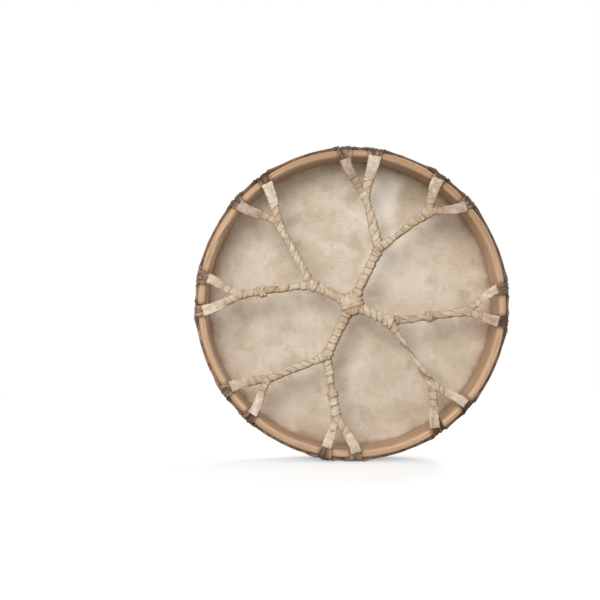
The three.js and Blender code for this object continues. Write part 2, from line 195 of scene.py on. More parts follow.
# ---- mesh building ----
class Build:
    """Gathers vertices in mm, faces that look out, and point attributes."""

    def __init__(self):
        self.vertices, self.quads, self.tris = [], [], []
        self.quad_materials, self.tri_materials, self.attributes = [], [], {}
        self.count = 0

    def add(self, vertices, quads, tris=(), material=0, **attributes):
        vertices = np.asarray(vertices, float).reshape(-1, 3)
        quads = np.asarray(quads, int).reshape(-1, 4)
        tris = np.asarray(tris, int).reshape(-1, 3)
        # Signed volume decides which way the faces look.
        volume = 0.0
        for faces in (tris, quads[:, [0, 1, 2]], quads[:, [0, 2, 3]]):
            first, second, third = (vertices[faces[:, i]] for i in range(3))
            volume += np.einsum("ij,ij->i", first, np.cross(second, third)).sum()
        if volume < 0:
            quads, tris = quads[:, ::-1], tris[:, ::-1]
        self.vertices.append(vertices)
        self.quads.append(quads + self.count)
        self.tris.append(tris + self.count)
        material = np.broadcast_to(material, len(quads) + len(tris))
        self.quad_materials.append(material[:len(quads)])
        self.tri_materials.append(material[len(quads):])
        for name, values in attributes.items():
            values = np.broadcast_to(np.asarray(values, float), len(vertices))
            self.attributes.setdefault(name, []).append(values)
        self.count += len(vertices)

    def make(self, name, materials, piece, slot, sharp=None):
        """Make the object that stands in for a CAD piece."""
        vertices = np.concatenate(self.vertices) * MM
        quads, tris = np.concatenate(self.quads), np.concatenate(self.tris)
        # Vertices that no face uses are left out.
        used = np.zeros(len(vertices), bool)
        used[quads.ravel()] = True
        used[tris.ravel()] = True
        renumbered = np.cumsum(used) - 1
        vertices, quads, tris = vertices[used], renumbered[quads], renumbered[tris]
        mesh = bpy.data.meshes.new(name)
        mesh.vertices.add(len(vertices))
        mesh.vertices.foreach_set("co", vertices.astype(np.float32).ravel())
        loops = np.concatenate([quads.ravel(), tris.ravel()]).astype(np.int32)
        mesh.loops.add(len(loops))
        mesh.loops.foreach_set("vertex_index", loops)
        starts = np.concatenate([np.arange(len(quads)) * 4,
                                 len(quads) * 4 + np.arange(len(tris)) * 3]).astype(np.int32)
        mesh.polygons.add(len(starts))
        mesh.polygons.foreach_set("loop_start", starts)
        mesh.update(calc_edges=True)
        indices = np.concatenate(self.quad_materials + self.tri_materials).astype(np.int32)
        mesh.polygons.foreach_set("material_index", indices)
        for key, parts in self.attributes.items():
            values = np.concatenate(parts).astype(np.float32)[used]
            mesh.attributes.new(key, "FLOAT", "POINT").data.foreach_set("value", values)
        mesh.validate()
        mesh.shade_smooth()
        if sharp:
            mesh.set_sharp_from_angle(angle=math.radians(sharp))
        ob = bpy.data.objects.new(name, mesh)
        bpy.context.scene.collection.objects.link(ob)
        for material in materials:
            mesh.materials.append(material)
        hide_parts(piece)
        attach(ob, "root")


def grid_quads(rows, columns, wrap_rows=False, base=0):
    """Quads of a grid whose columns close on themselves."""
    row, column = np.meshgrid(np.arange(rows if wrap_rows else rows - 1), np.arange(columns),
                              indexing="ij")
    row_next, column_next = (row + 1) % rows * columns, (column + 1) % columns
    row = row * columns
    corners = [row + column, row + column_next, row_next + column_next, row_next + column]
    return base + np.stack(corners, -1).reshape(-1, 4)


def capped(rings):
    """Vertices, quads and triangles of a tube of rings, closed by a fan at each end."""
    rows, columns, _ = rings.shape
    vertices = np.concatenate([rings.reshape(-1, 3), [rings[0].mean(0), rings[-1].mean(0)]])
    start, last = rows * columns, (rows - 1) * columns
    tris = [(start, (i + 1) % columns, i) for i in range(columns)]
    tris += [(start + 1, last + i, last + (i + 1) % columns) for i in range(columns)]
    return vertices, grid_quads(rows, columns), np.array(tris)


# ---- node materials ----
class Signal:
    """A shader output whose +, - and * make Math nodes."""

    def __init__(self, nodes, socket):
        self.nodes, self.socket = nodes, socket

    def __add__(self, other):
        return self.nodes.math("ADD", self, other)

    def __sub__(self, other):
        return self.nodes.math("SUBTRACT", self, other)

    def __rsub__(self, other):
        return self.nodes.math("SUBTRACT", other, self)

    def __mul__(self, other):
        return self.nodes.math("MULTIPLY", self, other)

    def span(self, start, stop, low=0.0, high=1.0, kind="SMOOTHSTEP"):
        """Go from low to high, with eased ends, as the signal goes from start to stop."""
        return self.nodes.make("ShaderNodeMapRange", {0: self, 1: start, 2: stop, 3: low, 4: high},
                               interpolation_type=kind)

    def line(self, start, stop, low, high):
        return self.span(start, stop, low, high, "LINEAR")

    def clamp(self):
        return self.nodes.math("ADD", self, 0.0, clamp=True)


def linear(shade):
    """A shade of three sRGB values, 0 to 255, as linear RGBA; other shades stay as they are."""
    if isinstance(shade, Signal) or len(shade) == 4:
        return shade
    parts = [value / 255 for value in shade]
    return (*(c / 12.92 if c <= 0.04045 else ((c + 0.055) / 1.055) ** 2.4 for c in parts), 1.0)


class Nodes:
    """The node tree of a material or a world."""

    def __init__(self, owner):
        self.owner = owner
        owner.use_nodes = True
        self.tree = owner.node_tree
        self.tree.nodes.clear()

    def node(self, kind, inputs, **settings):
        node = self.tree.nodes.new(kind)
        for key, value in settings.items():
            setattr(node, key, value)
        for key, value in inputs.items():
            if isinstance(value, Signal):
                self.tree.links.new(value.socket, node.inputs[key])
            else:
                node.inputs[key].default_value = value
        return node

    def make(self, kind, inputs=None, output=0, **settings):
        return Signal(self, self.node(kind, inputs or {}, **settings).outputs[output])

    def point(self):
        return self.make("ShaderNodeTexCoord", output="Object")

    def attribute(self, name):
        return self.make("ShaderNodeAttribute", output="Fac", attribute_name=name)

    def math(self, operation, first, second=0.0, clamp=False):
        return self.make("ShaderNodeMath", {0: first, 1: second, 2: 0.0},
                         operation=operation, use_clamp=clamp)

    def hypot(self, first, second):
        return self.math("SQRT", first * first + second * second)

    def vector(self, operation, first, second):
        return self.make("ShaderNodeVectorMath", {0: first, 1: second}, operation=operation)

    def split(self, vector):
        outputs = self.node("ShaderNodeSeparateXYZ", {0: vector}).outputs
        return [Signal(self, socket) for socket in outputs]

    def join(self, x, y, z):
        return self.make("ShaderNodeCombineXYZ", {0: x, 1: y, 2: z})

    def noise(self, point, shift, scale, detail, roughness, distortion=0.0):
        """Noise at a shifted point. A scale of three numbers stretches the point first."""
        if shift is not None:
            point = self.vector("ADD", point, shift)
        if isinstance(scale, tuple):
            point = self.vector("MULTIPLY", point, scale)
            scale = 1.0
        return self.make("ShaderNodeTexNoise", {
            "Vector": point, "Scale": scale, "Detail": detail, "Roughness": roughness,
            "Distortion": distortion}, output="Fac")

    def noises(self, point, *rows):
        """One noise for each row: shift, scale, detail, roughness and perhaps distortion."""
        return [self.noise(point, *row) for row in rows]

    def ramp(self, signal, stops):
        node = self.node("ShaderNodeValToRGB", {"Fac": signal})
        elements = node.color_ramp.elements
        while len(elements) < len(stops):
            elements.new(0.5)
        for element, (position, shade) in zip(elements, stops):
            element.position, element.color = position, linear(shade)
        return Signal(self, node.outputs["Color"])

    def mix(self, amount, under, over, blend="MIX"):
        return self.make("ShaderNodeMix", {0: amount, 6: linear(under), 7: linear(over)}, 2,
                         data_type="RGBA", blend_type=blend)

    def lay(self, colour, *layers):
        """Lay shades over a colour. Each layer: amount, shade and, for a shade that darkens
        by multiplying, its strength."""
        for amount, shade, *strength in layers:
            if strength:
                shade = self.mix(strength[0], colour, shade, "MULTIPLY")
            colour = self.mix(amount, colour, shade)
        return colour

    def spot(self, across, z, spot, ragged):
        """Distance from a spot's middle, 1 at its rim. Spot: across, z and two radii, in mm."""
        middle_x, middle_z, radius_x, radius_z = spot
        offset_x = (across - middle_x / 1000) * (1000 / radius_x)
        offset_z = (z - middle_z / 1000) * (1000 / radius_z)
        return self.hypot(offset_x, offset_z) + ragged

    def bump(self, height, strength, distance, **normal):
        return self.make("ShaderNodeBump", {
            "Height": height, "Strength": strength, "Distance": distance, **normal})

    def finish(self, colour, roughness, normal, specular):
        surface = self.make("ShaderNodeBsdfPrincipled", {
            "Base Color": colour, "Roughness": roughness, "Specular IOR Level": specular,
            "Normal": normal})
        return self.output(surface)

    def output(self, surface, kind="ShaderNodeOutputMaterial"):
        self.node(kind, {"Surface": surface})
        return self.owner


# In the materials, span and line read: from, to, amount at from, amount at to.
def wood_material():
    mat = Nodes(bpy.data.materials.new("bent_wood"))
    x, y, z = mat.split(mat.point())
    # Unrolled grain: length round the hoop from the scarf, place across the strip and through it.
    cos_scarf, sin_scarf = math.cos(SCARF), math.sin(SCARF)
    u = x * -1.0
    along = u * -cos_scarf + z * -sin_scarf
    across = u * sin_scarf + z * -cos_scarf
    length = mat.math("ARCTAN2", across, along) * (HOOP_MID * MM)
    radius = mat.hypot(x, z)
    grain = mat.join(length, y, radius)
    wobble = mat.noise(grain, None, (9, 9, 9), 2, 0.5)
    # The grain wanders by up to 5 mm across the strip and 2 mm through it.
    wavy = mat.join(length, y + (wobble - 0.5) * 0.010, radius + (wobble - 0.5) * 0.004)
    rings, fibre = mat.noises(
        wavy, (None, (7, 330, 520), 3, 0.55), (None, (40, 1500, 1500), 3, 0.6))
    broad, cloud = mat.noises(grain, (None, (16, 30, 60), 3, 0.5), (None, (22, 45, 1), 4, 0.6))
    inside = mat.attribute("inwall")
    high = (z * 0.8 + u * 0.6).span(0.02, 0.12, 0, 1)
    stain = mat.mix(cloud.span(0.3, 0.75), (208, 178, 152), (178, 144, 118))
    colour = mat.lay(
        mat.ramp(rings, [(0.30, (158, 125, 97)), (0.42, (178, 145, 114)), (0.52, (192, 161, 129)),
                         (0.64, (203, 173, 141)), (0.74, (180, 147, 115))]),
        (fibre.span(0.46, 0.70, 0, 0.26), (146, 112, 82)),
        (broad.span(0.35, 0.68, 0, 0.34), (182, 142, 104)),
        # Painted shade: the hoop darkens towards its outer face, most at the top, as its rounded back
        # edge would shade.
        (radius.span(0.1915, 0.1978, 0, 0.20) * z.span(-0.10, 0.04, 0.15, 1), (140, 110, 84)),
        # The strip is yellower and darker towards the top.
        ((z * 0.92 + u * 0.25).span(0.02, 0.17, 0, 0.55), (226, 204, 172), 0.8),
        # The inside wall is browner and shades off near the head; painted shade darkens it most at the
        # top, and a little at the bottom.
        (inside * 0.70, stain),
        (inside * y.span(0.030, 0.006, 0, 0.35), (196, 160, 132)),
        (inside * (z + u * 0.15).span(0.06, 0.19, 0, 0.55), (116, 88, 62)),
        (inside * z.span(0.05, -0.05, 0, 0.55), (218, 218, 220), 1.0),
        (high * (1.0 - inside) * 0.9, (238, 240, 242), 1.0),
        # The scarf's glue line, a painted highlight in patches on the rounded inner back edge, and dirt
        # with painted shade.
        (mat.attribute("seam") * 0.8, (84, 54, 34)),
        (mat.attribute("edge") * broad.span(0.3, 0.7, 0.05, 0.30), (214, 184, 150)),
        (mat.attribute("dirt") * cloud.span(0.25, 0.7, 0.35, 0.95), (112, 78, 52)))
    normal = mat.bump(rings * 0.5 + fibre * 0.5, strength=0.5, distance=0.0006)
    return mat.finish(colour, fibre.line(0.3, 0.7, 0.46, 0.66), normal, specular=0.4)


# Marks on the playing face: x, z, two radii (mm) and strength.
SMUDGES = (
    (44, 80, 18, 24, 0.42), (30, 92, 12, 12, 0.26), (50, 52, 10, 16, 0.36), (100, 2, 12, 24, 0.34),
    (96, -12, 15, 15, 0.26), (66, -24, 26, 12, 0.26), (-6, -8, 30, 18, 0.24),
    (10, -126, 38, 12, 0.30), (30, -148, 30, 12, 0.30), (-90, 20, 24, 16, 0.16),
    (70, -100, 12, 18, 0.18), (-70, 96, 30, 20, 0.14), (-40, 140, 30, 12, 0.14))
STAINS = (
    (163, -14, 24, 20, 0.50), (146, -54, 20, 34, 0.40), (150, -88, 16, 30, 0.32),
    (-191, 8, 7, 18, 0.5), (-168, -60, 14, 22, 0.2), (120, -120, 18, 16, 0.2))


def hide_outer_material():
    mat = Nodes(bpy.data.materials.new("hide_outer"))
    point = mat.point()
    x, y, z = mat.split(point)
    (big, mid, small, grain, patches, warm, cool, scratch_x, scratch_z, fine, smudge, stain,
     tab_noise) = mat.noises(
        point,
        ((0, 0, 0), 7.5, 3, 0.5, 0.25),
        ((3.1, 1.7, 5.3), 26, 4, 0.6, 0.35),
        ((9.1, 2.2, 4.4), 95, 4, 0.62),
        (None, 620, 2, 0.6),
        ((7.7, 0.3, 1.9), 19, 2, 0.5),
        ((1.7, 8.3, 2.9), 12, 3, 0.55),
        ((6.7, 3.3, 7.9), 15, 3, 0.55),
        ((0.3, 0.0, 0.9), (60, 60, 620), 3, 0.65),
        ((0.8, 0.0, 0.2), (620, 60, 70), 3, 0.65),
        ((2.7, 4.1, 6.2), 240, 3, 0.65),
        ((5.1, 0.2, 0.7), 90, 5, 0.72, 0.5),
        ((2.2, 6.1, 3.8), 42, 4, 0.65, 0.6),
        ((4.4, 9.1, 0.6), 120, 3, 0.6))
    colour = mat.lay(
        mat.ramp(big, [(0.30, (170, 156, 140)), (0.46, (186, 171, 153)), (0.58, (194, 179, 159)),
                       (0.72, (178, 161, 138))]),
        (mid.span(0.46, 0.68, 0, 0.60), (158, 140, 116)),
        (mid.span(0.25, 0.45, 0.60, 0), (206, 193, 177)),
        (warm.span(0.50, 0.70, 0, 0.34), (176, 152, 116)),
        (cool.span(0.52, 0.70, 0, 0.36), (164, 156, 148)),
        (small.span(0.48, 0.72, 0, 0.34), (152, 133, 110)),
        # Short scratches and fibres run both ways across the hide, in patches.
        (scratch_x.span(0.52, 0.70) * cool.span(0.46, 0.64, 0, 0.30), (128, 110, 90)),
        (scratch_z.span(0.52, 0.70) * warm.span(0.46, 0.64, 0, 0.22), (134, 114, 92)),
        (scratch_x.span(0.48, 0.30) * 0.10, (206, 194, 178)),
        # Pores: dark flecks that gather in patches.
        (grain.span(0.53, 0.68) * patches.span(0.44, 0.66) * 0.34, (112, 94, 74)),
        (fine.span(0.56, 0.72, 0, 0.22), (142, 120, 96)))

    def mark(spot, softness, strength):
        distance = mat.spot(x, z, spot, (small - 0.5) * 0.9)
        return distance.span(1.0 - softness, 1.0 + softness, strength, 0.0)

    # Grey smudges, reddish clouds, a dark scar and a small hole-like spot.
    face = y.span(0.0010, 0.0030, 1, 0)
    smudge = (smudge.span(0.36, 0.70) + scratch_x.span(0.50, 0.66) * 0.35).clamp()
    for *spot, strength in SMUDGES:
        colour = mat.lay(colour, (mark(spot, 0.7, strength) * smudge * face, (92, 82, 68)))
    stain = stain.span(0.34, 0.66, 0.25, 1)
    for *spot, strength in STAINS:
        colour = mat.lay(colour, (mark(spot, 0.75, strength) * face * stain, (150, 112, 82)))
    colour = mat.lay(
        colour,
        (mark((103.5, 2.4, 3.3, 3.6), 0.45, 0.86) * face, (82, 74, 60)),
        (mark((121.6, -1.4, 1.7, 2.2), 0.35, 0.95) * face, (40, 33, 26)))

    # A faint line where the hide leaves the hoop, part mark and part painted shade, stronger at the
    # upper left; and darkening over the shoulder and skirt.
    radius = mat.hypot(x, z)
    ragged = radius + (mid - 0.5) * 0.0016
    line = ragged.span(0.1878, 0.1892, 0, 1) * ragged.span(0.1896, 0.1912, 1, 0)
    upper = (x * -0.6 + z * 0.8).span(-0.12, 0.14, 0.20, 0.62)
    low = (x * 0.6 + z * -0.8).span(-0.16, 0.16, 0, 1)
    corner = y.span(0.0020, 0.0048) * y.span(0.028, 0.010)
    colour = mat.lay(
        colour,
        (line * face * (upper * mid.span(0.40, 0.60, 0.15, 0.9)), (108, 90, 72)),
        # Painted shade: the hide is darker at the bottom, towards +X, and most of all there near its
        # edge.
        (low * 0.30, (196, 180, 158), 0.6),
        (ragged.span(0.165, 0.1985, 0, 0.62) * low.line(0, 1, 0.16, 1), (110, 88, 66)),
        # Painted shade: the corner where the face turns over into the skirt is darkened, more at the
        # bottom towards +X.
        (corner * (low.line(0, 1, 0.60, 0.90) + (mid - 0.5) * 0.8), (66, 50, 38)))

    # The browns of the gathered tabs and the skirt.
    dark, pleat, tint = (mat.attribute(name) for name in ("dark", "pleat", "tint"))
    dark = (dark + (small - 0.5) * 0.9 * dark.span(0, 0.2)).clamp()
    # Painted shade: the browns are darker on the side towards -X, towards the back.
    right_side_shade = (x * -0.94 + z * -0.34).span(0.11, 0.19, 0, 0.42) * y.span(0.020, 0.045)
    brown = mat.lay(
        mat.ramp(tab_noise, [(0.30, (86, 65, 54)), (0.44, (116, 91, 76)), (0.56, (146, 120, 102)),
                             (0.70, (168, 143, 124))]),
        (tint.span(0.70, 1, 0, 0.42), (162, 138, 122)),
        (tint.span(0.45, 0, 0, 0.90), (186, 152, 122), 1.0),
        # Painted shade in the folds of the gathers and painted highlight on their ridges.
        (pleat.span(-0.85, 0, 0.70, 0), (66, 47, 38)),
        (pleat.span(0.05, 0.6, 0, 0.45), (180, 154, 134)),
        (fine.span(0.52, 0.7, 0, 0.4), (80, 56, 44)),
        (right_side_shade, (58, 42, 33)))
    brim_shade = y.span(0.046, 0.0545) * radius.span(0.1960, 0.1985) * z.span(0, 0.10, 0, 0.66)
    colour = mat.lay(
        colour,
        (dark.span(0.02, 0.5), (158, 128, 100), 0.6),
        (dark.span(0.34, 0.95), brown),
        # Painted shade: the turned edge is darkened, most at the top.
        (brim_shade, (60, 45, 36)))
    pores = mat.bump(grain * 0.35 + (fine * 0.5 + small * 0.9), strength=0.55, distance=0.0007)
    stretched = mat.vector("MULTIPLY", point, (1.0, 1.0, 2.2))
    wrinkles = mat.noise(stretched, None, 60, 3, 0.6, 0.8)
    normal = mat.bump(wrinkles, strength=0.25, distance=0.0012, Normal=pores)
    return mat.finish(colour, small.line(0.3, 0.7, 0.56, 0.74), normal, specular=0.3)


# Pale and dark places on the inner face: u, z, two radii (mm), strength and shade. The pale ones are
# painted light laid over the shadows of the hoop and the lacing.
INNER_PAINTED_LIGHT_AND_DARK_PLACES = (
    (36, 136, 26, 30, 0.80, (246, 239, 229)), (46, 162, 22, 15, 0.62, (240, 230, 218)),
    (46, 52, 22, 22, 0.62, (240, 230, 216)), (72, 80, 22, 18, 0.40, (236, 226, 212)),
    (52, 96, 18, 16, 0.30, (236, 226, 212)), (44, -95, 26, 22, 0.34, (168, 148, 124)),
    (43, -52, 20, 18, 0.24, (172, 152, 128)), (70, 2, 20, 14, 0.20, (178, 158, 134)))


def hide_inner_material():
    mat = Nodes(bpy.data.materials.new("hide_inner"))
    point = mat.point()
    x, _, z = mat.split(point)
    big, mid, small, grain, pink, olive, scratch, cool = mat.noises(
        point,
        ((11.3, 2.0, 4.0), 9.5, 3, 0.5, 0.3),
        ((4.1, 6.7, 0.3), 30, 4, 0.6, 0.4),
        ((0.1, 2.9, 8.4), 110, 4, 0.62),
        ((1.0, 1.0, 1.0), 560, 2, 0.6),
        ((8.1, 0.7, 2.3), 17, 3, 0.55),
        ((5.3, 1.1, 6.9), 13, 4, 0.6, 0.5),
        ((0.3, 0.0, 0.9), (50, 60, 520), 3, 0.65),
        ((3.7, 9.3, 1.9), 21, 3, 0.55))
    ragged = mat.hypot(x, z) + (mid - 0.5) * 0.030
    corner = x * -0.60 + z * 0.80
    corner = (corner + (pink - 0.5) * 0.05).span(0.120, 0.185, 0, 0.42)
    colour = mat.lay(
        mat.ramp(big, [(0.30, (194, 179, 160)), (0.45, (209, 195, 178)), (0.58, (216, 203, 187)),
                       (0.72, (194, 177, 156))]),
        (mid.span(0.47, 0.70, 0, 0.55), (172, 152, 127)),
        (mid.span(0.26, 0.45, 0.60, 0), (228, 219, 208)),
        (pink.span(0.52, 0.70, 0, 0.20), (208, 184, 164)),
        (olive.span(0.48, 0.68, 0, 0.46), (184, 171, 146)),
        (scratch.span(0.52, 0.70, 0, 0.20), (150, 130, 108)),
        (cool.span(0.52, 0.72, 0, 0.30), (200, 190, 178)),
        (small.span(0.50, 0.76, 0, 0.34), (178, 156, 130)),
        (grain.span(0.54, 0.7) * pink.span(0.40, 0.62) * 0.34, (150, 124, 98)),
        # Browner near the hoop; painted shade in the crease at the wall, and a painted shadow of the
        # hoop, most of all at the top towards -X.
        (ragged.span(0.170, 0.190, 0, 0.30), (196, 164, 136)),
        (ragged.span(0.183, 0.191, 0, 0.50), (150, 118, 92)),
        (corner * ragged.span(0.120, 0.170), (134, 112, 90)))
    for *spot, strength, shade in INNER_PAINTED_LIGHT_AND_DARK_PLACES:
        distance = mat.spot(x * -1.0, z, spot, (mid - 0.5) * 1.1)
        colour = mat.lay(colour, (distance.span(0.25, 1.55, strength, 0), shade))
    height = grain * 0.3 + (small * 1.0 + mid * 1.2)
    normal = mat.bump(height, strength=0.5, distance=0.0007)
    return mat.finish(colour, small.line(0.3, 0.7, 0.60, 0.78), normal, specular=0.25)


def rawhide_material(name, light, middle, dark, seam, soiled, mottle):
    """Strips of rawhide: streaks along the strip, creases, dirt in the laps, a brown tone."""
    mat = Nodes(bpy.data.materials.new(name))
    point = mat.point()
    length, across, tone, turn = (mat.attribute(key) for key in ("len", "acr", "tone", "turn"))
    # The strip's own coordinates. Drying has cockled it: fine wrinkles run across.
    strip = mat.join(length * 1.0, across * 1.0, turn)
    streak, fibre, cockle = mat.noises(
        strip,
        (None, (70, 2.0, 7), 4, 0.6), (None, (160, 9.0, 7), 3, 0.6), (None, (420, 1.1, 7), 3, 0.6))
    blot, fine, mottling, soil = mat.noises(
        point,
        (None, 85, 3, 0.6), (None, 480, 3, 0.6),
        ((7.1, 2.3, 4.9), 135, 3, 0.6), ((3.3, 5.7, 1.2), 34, 3, 0.6))
    vary = mat.noise(mat.join(turn, 0.0, 0.0), None, 3.7, 1, 0.5)
    lap_dirt_and_shade = (across + (fibre - 0.5) * 0.6).span(-1, -0.30, 1, 0) * blot.span(0.30, 0.62, 0.22, 0.95)
    brown = mat.mix(streak.span(0.35, 0.65), (112, 84, 66), (166, 132, 108))
    normal_x, normal_y, normal_z = mat.split(mat.make("ShaderNodeNewGeometry", output="Normal"))
    under = normal_x * -0.85 + normal_z * -0.62
    colour = mat.lay(
        mat.ramp(streak * 0.6 + blot * 0.4,
                 [(0.32, dark), (0.44, middle), (0.56, light), (0.72, middle)]),
        (fibre.span(0.54, 0.74, 0, 0.38), seam),
        (fine.span(0.55, 0.72, 0, 0.20), seam),
        (cockle.span(0.50, 0.68, 0, 0.50) * blot.span(0.35, 0.6, 0.3, 1), dark),
        # It dries unevenly: chalky where it is thick, tan and a little clear where it is thin.
        (mottling.span(0.50, 0.66, 0, 0.55 * mottle), (214, 196, 172), 1.0),
        (mottling.span(0.47, 0.34, 0, 0.50 * mottle), (238, 230, 217)),
        # The lapped-over edge holds dirt and painted shade under the step, and the free edge is worn
        # pale.
        (lap_dirt_and_shade, seam),
        (across.span(0.45, 0.95, 0, 0.5), mat.mix(0.5, light, (246, 236, 218))),
        (vary.span(0.45, 0.75, 0, 0.40), middle),
        ((tone * blot.line(0.3, 0.7, 0.75, 1.15)).clamp(), brown),
        # Handling has browned the strips in places, and two sides of them are shaded.
        (soil.span(0.46, 0.66, 0, soiled), (208, 176, 140), 0.85),
        (under.span(0.12, 0.80, 0, 0.80) * normal_y.span(0.985, 0.78, 0, 1), (104, 78, 54)),
        (under.span(0, -0.85, 0, 0.25) * normal_y.span(0.80, 0.20, 0, 1), (128, 100, 74)))
    height = (fibre * 0.6 + cockle * 1.3) + (fine * 0.35 + streak * 0.6)
    normal = mat.bump(height, strength=0.75, distance=0.0007)
    return mat.finish(colour, blot.line(0.3, 0.7, 0.44, 0.66), normal, specular=0.4)


WOOD = wood_material()
HIDE_OUT = hide_outer_material()
HIDE_IN = hide_inner_material()
LACE = rawhide_material(
    "rawhide_lace", light=(216, 202, 184), middle=(200, 184, 163), dark=(176, 156, 132),
    seam=(150, 125, 100), soiled=0.36, mottle=1.0)
BINDING = rawhide_material(
    "rawhide_binding", light=(208, 193, 170), middle=(191, 173, 148), dark=(165, 143, 116),
    seam=(134, 110, 84), soiled=0.55, mottle=0.4)


# ---- hoop ----
INNER_WALL, INNER_CORNER, BACK_FACE, OUTER_CORNER, OUTER_WALL, HEAD_SIDE = range(6)


def hoop_outline():
    """The hoop's section as (radius, y) points, and the zone that each point lies in."""
    points, zones = [], []

    def line(zone, count, start, end):
        part = np.arange(count)[:, None] / count
        points.extend(np.array(start) + (np.array(end) - np.array(start)) * part)
        zones.extend([zone] * count)

    def arc(zone, count, centre, radii, start, end):
        angle = start + (end - start) * np.arange(count) / count
        points.extend(np.array(centre) + np.array(radii) * np.stack([np.cos(angle), np.sin(angle)], -1))
        zones.extend([zone] * count)

    quarter = math.pi / 2
    front_edge = (HOOP_IN, HOOP_Y0 + 1.6)
    line(INNER_WALL, 16, front_edge, (HOOP_IN, HOOP_Y1 - 4.2))
    arc(INNER_CORNER, 10, (HOOP_IN + 3.2, HOOP_Y1 - 4.2), (3.2, 4.2), math.pi, quarter)
    line(BACK_FACE, 12, (HOOP_IN + 3.2, HOOP_Y1), (HOOP_R - 2.6, HOOP_Y1))
    arc(OUTER_CORNER, 7, (HOOP_R - 2.6, HOOP_Y1 - 2.6), (2.6, 2.6), quarter, 0)
    line(OUTER_WALL, 9, (HOOP_R, HOOP_Y1 - 2.6), (HOOP_R, SHOULDER))
    arc(HEAD_SIDE, 8, (CREST_R, SHOULDER), (HOOP_R - CREST_R, SHOULDER - HOOP_Y0), 0, -quarter)
    line(HEAD_SIDE, 2, (CREST_R, HOOP_Y0), front_edge)
    return np.array(points), np.array(zones)


def make_hoop():
    outline, zones = hoop_outline()
    columns = 720
    angles = SCARF + np.arange(columns) / columns * TAU
    angle, radius = np.meshgrid(angles, outline[:, 0], indexing="ij")
    y = np.tile(outline[:, 1], (columns, 1))
    zone = np.broadcast_to(zones, angle.shape)
    inner, outer_wall = zone == INNER_WALL, zone == OUTER_WALL
    on_back = np.isin(zone, (INNER_CORNER, BACK_FACE, OUTER_CORNER))
    turn = (angle - SCARF) / TAU
    # Bent by hand: the wall is not quite even, and the back edge rises and dips a little.
    radius += 0.16 * noise1(turn * 11, 3, 11) + 0.08 * noise1(turn * 37, 4, 37)
    y += smooth(y, HOOP_Y1 - 20, HOOP_Y1) * (
        0.20 * noise1(turn * 9, 5, 9) + 0.12 * noise1(turn * 31, 6, 31) - 0.12)
    # Scraper flats and small dents along the rounded back edges.
    radius += np.where(zone == INNER_CORNER, 0.22 * noise1(turn * 160, 7, 160), 0)
    radius -= np.where(zone == OUTER_CORNER, 0.2 * np.abs(noise1(turn * 140, 8, 140)), 0)
    y -= np.where(zone == BACK_FACE, 0.06 * noise2(turn * 400, radius * 1.2, 9), 0)
    radius += np.where(inner, 0.10 * noise2(turn * 60, y * 0.12, 10), 0)
    # The scarf joint: a long slanting glue line across the back face, and the feathered end
    # across the inside wall.
    half_scarf = 39
    length = (angle - SCARF) * HOOP_MID
    length = np.where(length > 600, length - TAU * HOOP_MID, length)
    across = (radius - HOOP_IN) / WALL
    line = length / (2 * half_scarf) + 0.5
    from_line = np.where(on_back, np.abs(across - line) * WALL, 9)
    groove = bell(from_line / 0.45) * ((line > -0.05) & (line < 1.05))
    from_feather = np.where(inner, np.abs(length + half_scarf - 1.4 * noise1(y * 0.09, 12)), 9)
    feather = bell(from_feather / 0.8)
    step = np.where(inner & (length > -half_scarf),
                    -0.35 * np.exp(-np.maximum(length + half_scarf, 0) / 26), 0)
    y -= 0.22 * groove
    radius += 0.3 * feather + step
    from_outer_end = np.where(outer_wall, np.abs(length - half_scarf), 9)
    seam = np.clip(groove + 0.9 * feather + bell(from_outer_end / 0.8), 0, 1)
    inwall = np.where(zone == INNER_CORNER, np.clip((HOOP_IN + 2.4 - radius) / 2.6, 0, 1), inner)
    inwall = inwall * (1 - 0.30 * smooth(y, HOOP_Y1 - 12, HOOP_Y1 - 1))
    # Dirt lies beside the tabs; near the head inside and under the skirt it is painted shade, in the
    # crease and under the hide.
    dirt = np.zeros_like(radius)
    for leg in LEGS:
        distance = np.abs(offset_round(np.degrees(angle), leg.angle, HOOP_R))
        beside = bell(np.maximum(distance - 8.5, 0) / 2.4)
        dirt = np.maximum(dirt, beside * np.where(on_back, 0.75, 0.25))
    dirt = np.maximum(dirt, np.where(inner, 0.8 * (1 - smooth(y, HOOP_Y0, HOOP_Y0 + 5)), 0))
    dirt = np.maximum(dirt, np.where(outer_wall, 0.7, 0))
    build = Build()
    build.add(place(radius * np.cos(angle), radius * np.sin(angle), y),
              grid_quads(columns, len(outline), wrap_rows=True),
              inwall=inwall.ravel(), seam=seam.ravel(),
              edge=(zone == INNER_CORNER).ravel(), dirt=dirt.ravel())
    build.make("hoop_bentwood", [WOOD], "hoop", "bent_wood")


# ---- plan of the legs ----
def bezier(start, start_handle, end_handle, end, count):
    part = np.linspace(0, 1, count)[:, None]
    rest = 1 - part
    return (rest ** 3 * start + 3 * rest ** 2 * part * start_handle
            + 3 * rest * part ** 2 * end_handle + part ** 3 * end)


def slit_radius(leg):
    return float(np.clip(LEGS[leg].end - 1.2, 184.3, 187.2))


def stem(spoke):
    """Junction and merge of a spoke in plan, the distance between them, and the direction
    from merge to junction."""
    junction = np.array(SPOKES[spoke].junction, float)
    merge = np.array(MERGES[spoke // 2], float)
    return junction, merge, np.linalg.norm(junction - merge), unit(junction - merge)


